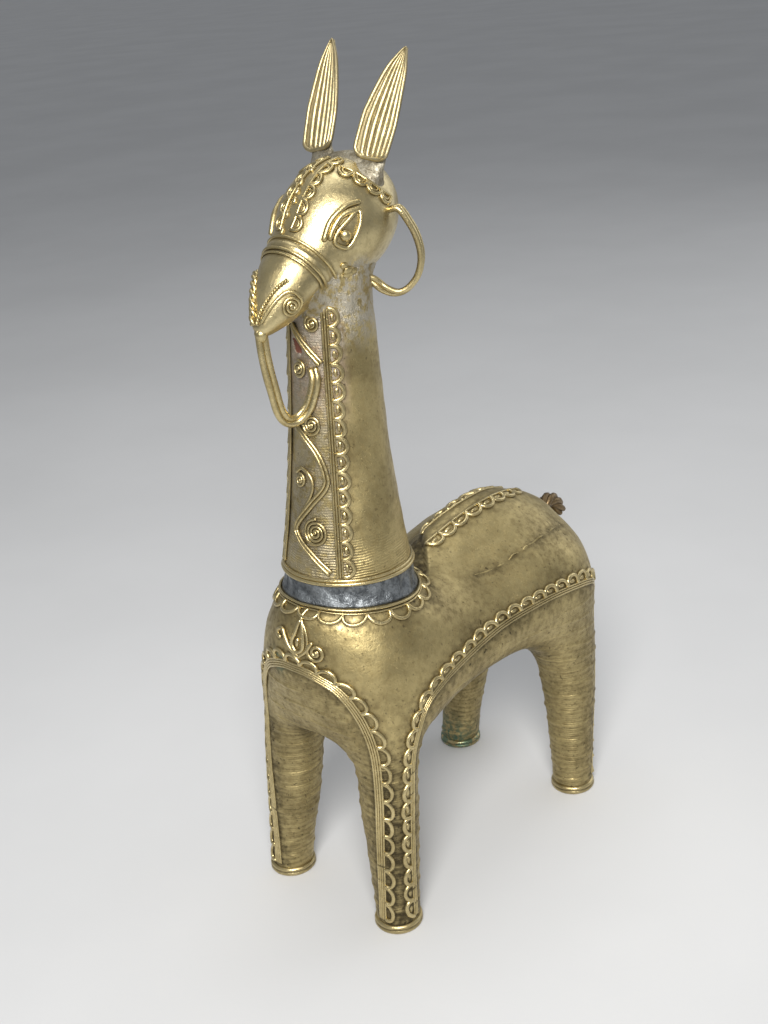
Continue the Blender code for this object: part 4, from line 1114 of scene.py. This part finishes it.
FOOT_LIP = np.array(((6.5, 0.3), (7.0, 0.0), (11.6, 0.0), (12.6, 0.5), (13.0, 1.4), (12.7, 2.2), (12.3, 2.6),
                     (12.7, 3.0), (12.9, 3.7), (12.5, 4.5), (11.6, 5.0), (7.0, 5.0), (6.5, 4.7)))
GREEN_FOOT = ("rear", "right")


def feet():
    reach, height = FOOT_LIP.T
    spokes = spokes_round(72)
    valley = np.exp(-((height - 2.6) / 0.5) ** 2) * (reach > 11)
    for end, foot in (("front", FOOT_FRONT), ("rear", FOOT_REAR)):
        for name, sign in SIDES:
            rows = np.array([sign * foot[0], foot[1], 0.0]) + spokes[:, None] * FOOT_LIP[:, :1]
            rows[..., 2] += height
            flat = rows.reshape(-1, 3)
            stands = fade(flat[:, 2], 0.4, 1.5)
            flat = flat + (ripple(flat, 6.0, 91) * 0.14 * stands)[:, None] * (0.7, 0.7, 0.3)
            draft = Draft()
            draft.ring(flat.reshape(rows.shape), 0.15 + 0.7 * valley)
            greening = np.full(len(draft.points), 0.75 if (end, name) == GREEN_FOOT else 0.0)
            piece(f"foot_lip_{end}_{name}", draft, THREAD, "thread_brass", f"foot_ring_{end}_{name}",
                  extra={"green": greening})


body_borders()
chest_flower()
casting_flash()
tail()
collar()
neck_ornament()
head_ornament()
loops()
ears()
jaw_fillet()
feet()
body_casting()
neck_casting()
head_casting()
for core in ("body_core", "neck_core", "head_core"):
    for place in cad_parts[core].material_slots:
        place.material = CLAY


# Stage

def floor():
    n = Nodes("pale_floor")
    cloud = n.noise(3.0, 4.0, 0.55)
    colour = n.mix(n.span(cloud, 0.3, 0.7), (0.60, 0.605, 0.61), (0.565, 0.57, 0.575))
    rough = n.span(cloud, 0.3, 0.7, 0.80, 0.90)
    material = n.done(colour, rough, n.bump(n.noise(400.0, 2.0), 0.0002, 0.2), 0.0)
    bm = bmesh.new()
    bmesh.ops.create_grid(bm, x_segments=4, y_segments=4, size=30.0)
    mesh = bpy.data.meshes.new("floor")
    bm.to_mesh(mesh)
    bm.free()
    mesh.materials.append(material)
    obj = placed("floor", mesh)


def lamp(name, place, target, size, power, colour=(1.0, 1.0, 1.0), beam=180.0):
    light = bpy.data.lights.new(name, "AREA")
    light.shape = "DISK"
    light.size = size
    light.energy = power
    light.color = colour
    light.spread = math.radians(beam)
    obj = placed(name, light)
    obj.location = place
    obj.rotation_euler = (Vector(target) - Vector(place)).to_track_quat("-Z", "Y").to_euler()


def studio():
    world = bpy.data.worlds.new("studio")
    world.use_nodes = True
    back = world.node_tree.nodes["Background"]
    back.inputs["Color"].default_value = (0.74, 0.76, 0.79, 1.0)
    back.inputs["Strength"].default_value = 0.42
    bpy.context.scene.world = world
    lamp("key", (0.70, -0.86, 1.06), (0.0, -0.02, 0.22), size=0.65, power=10.5,
         colour=(1.0, 0.98, 0.95), beam=110.0)
    lamp("fill", (0.4, 1.5, 0.8), (0.0, 0.0, 0.2), size=1.5, power=4.6)
    lamp("top", (-0.3, 0.3, 1.5), (0.0, 0.0, 0.1), size=1.0, power=4.5)


def camera():
    """The photograph's view: its right, down and forward directions and its place."""
    right = (0.7375, 0.6698, -0.0860)
    down = (0.2052, -0.3436, -0.9164)
    ahead = (-0.6434, 0.6582, -0.3908)
    place = np.array([460.0, -490.4, 488.3]) * MM + SHIFT
    data = bpy.data.cameras.new("photo_view")
    data.sensor_fit = "VERTICAL"
    data.sensor_height = 36.0
    data.lens = 47.46
    obj = placed("photo_view", data)
    turn = Matrix((right, [-v for v in down], [-v for v in ahead])).transposed().to_4x4()
    obj.matrix_world = Matrix.Translation(place) @ turn
    bpy.context.scene.camera = obj


floor()
studio()
camera()
bpy.context.scene.view_settings.view_transform = "Standard"
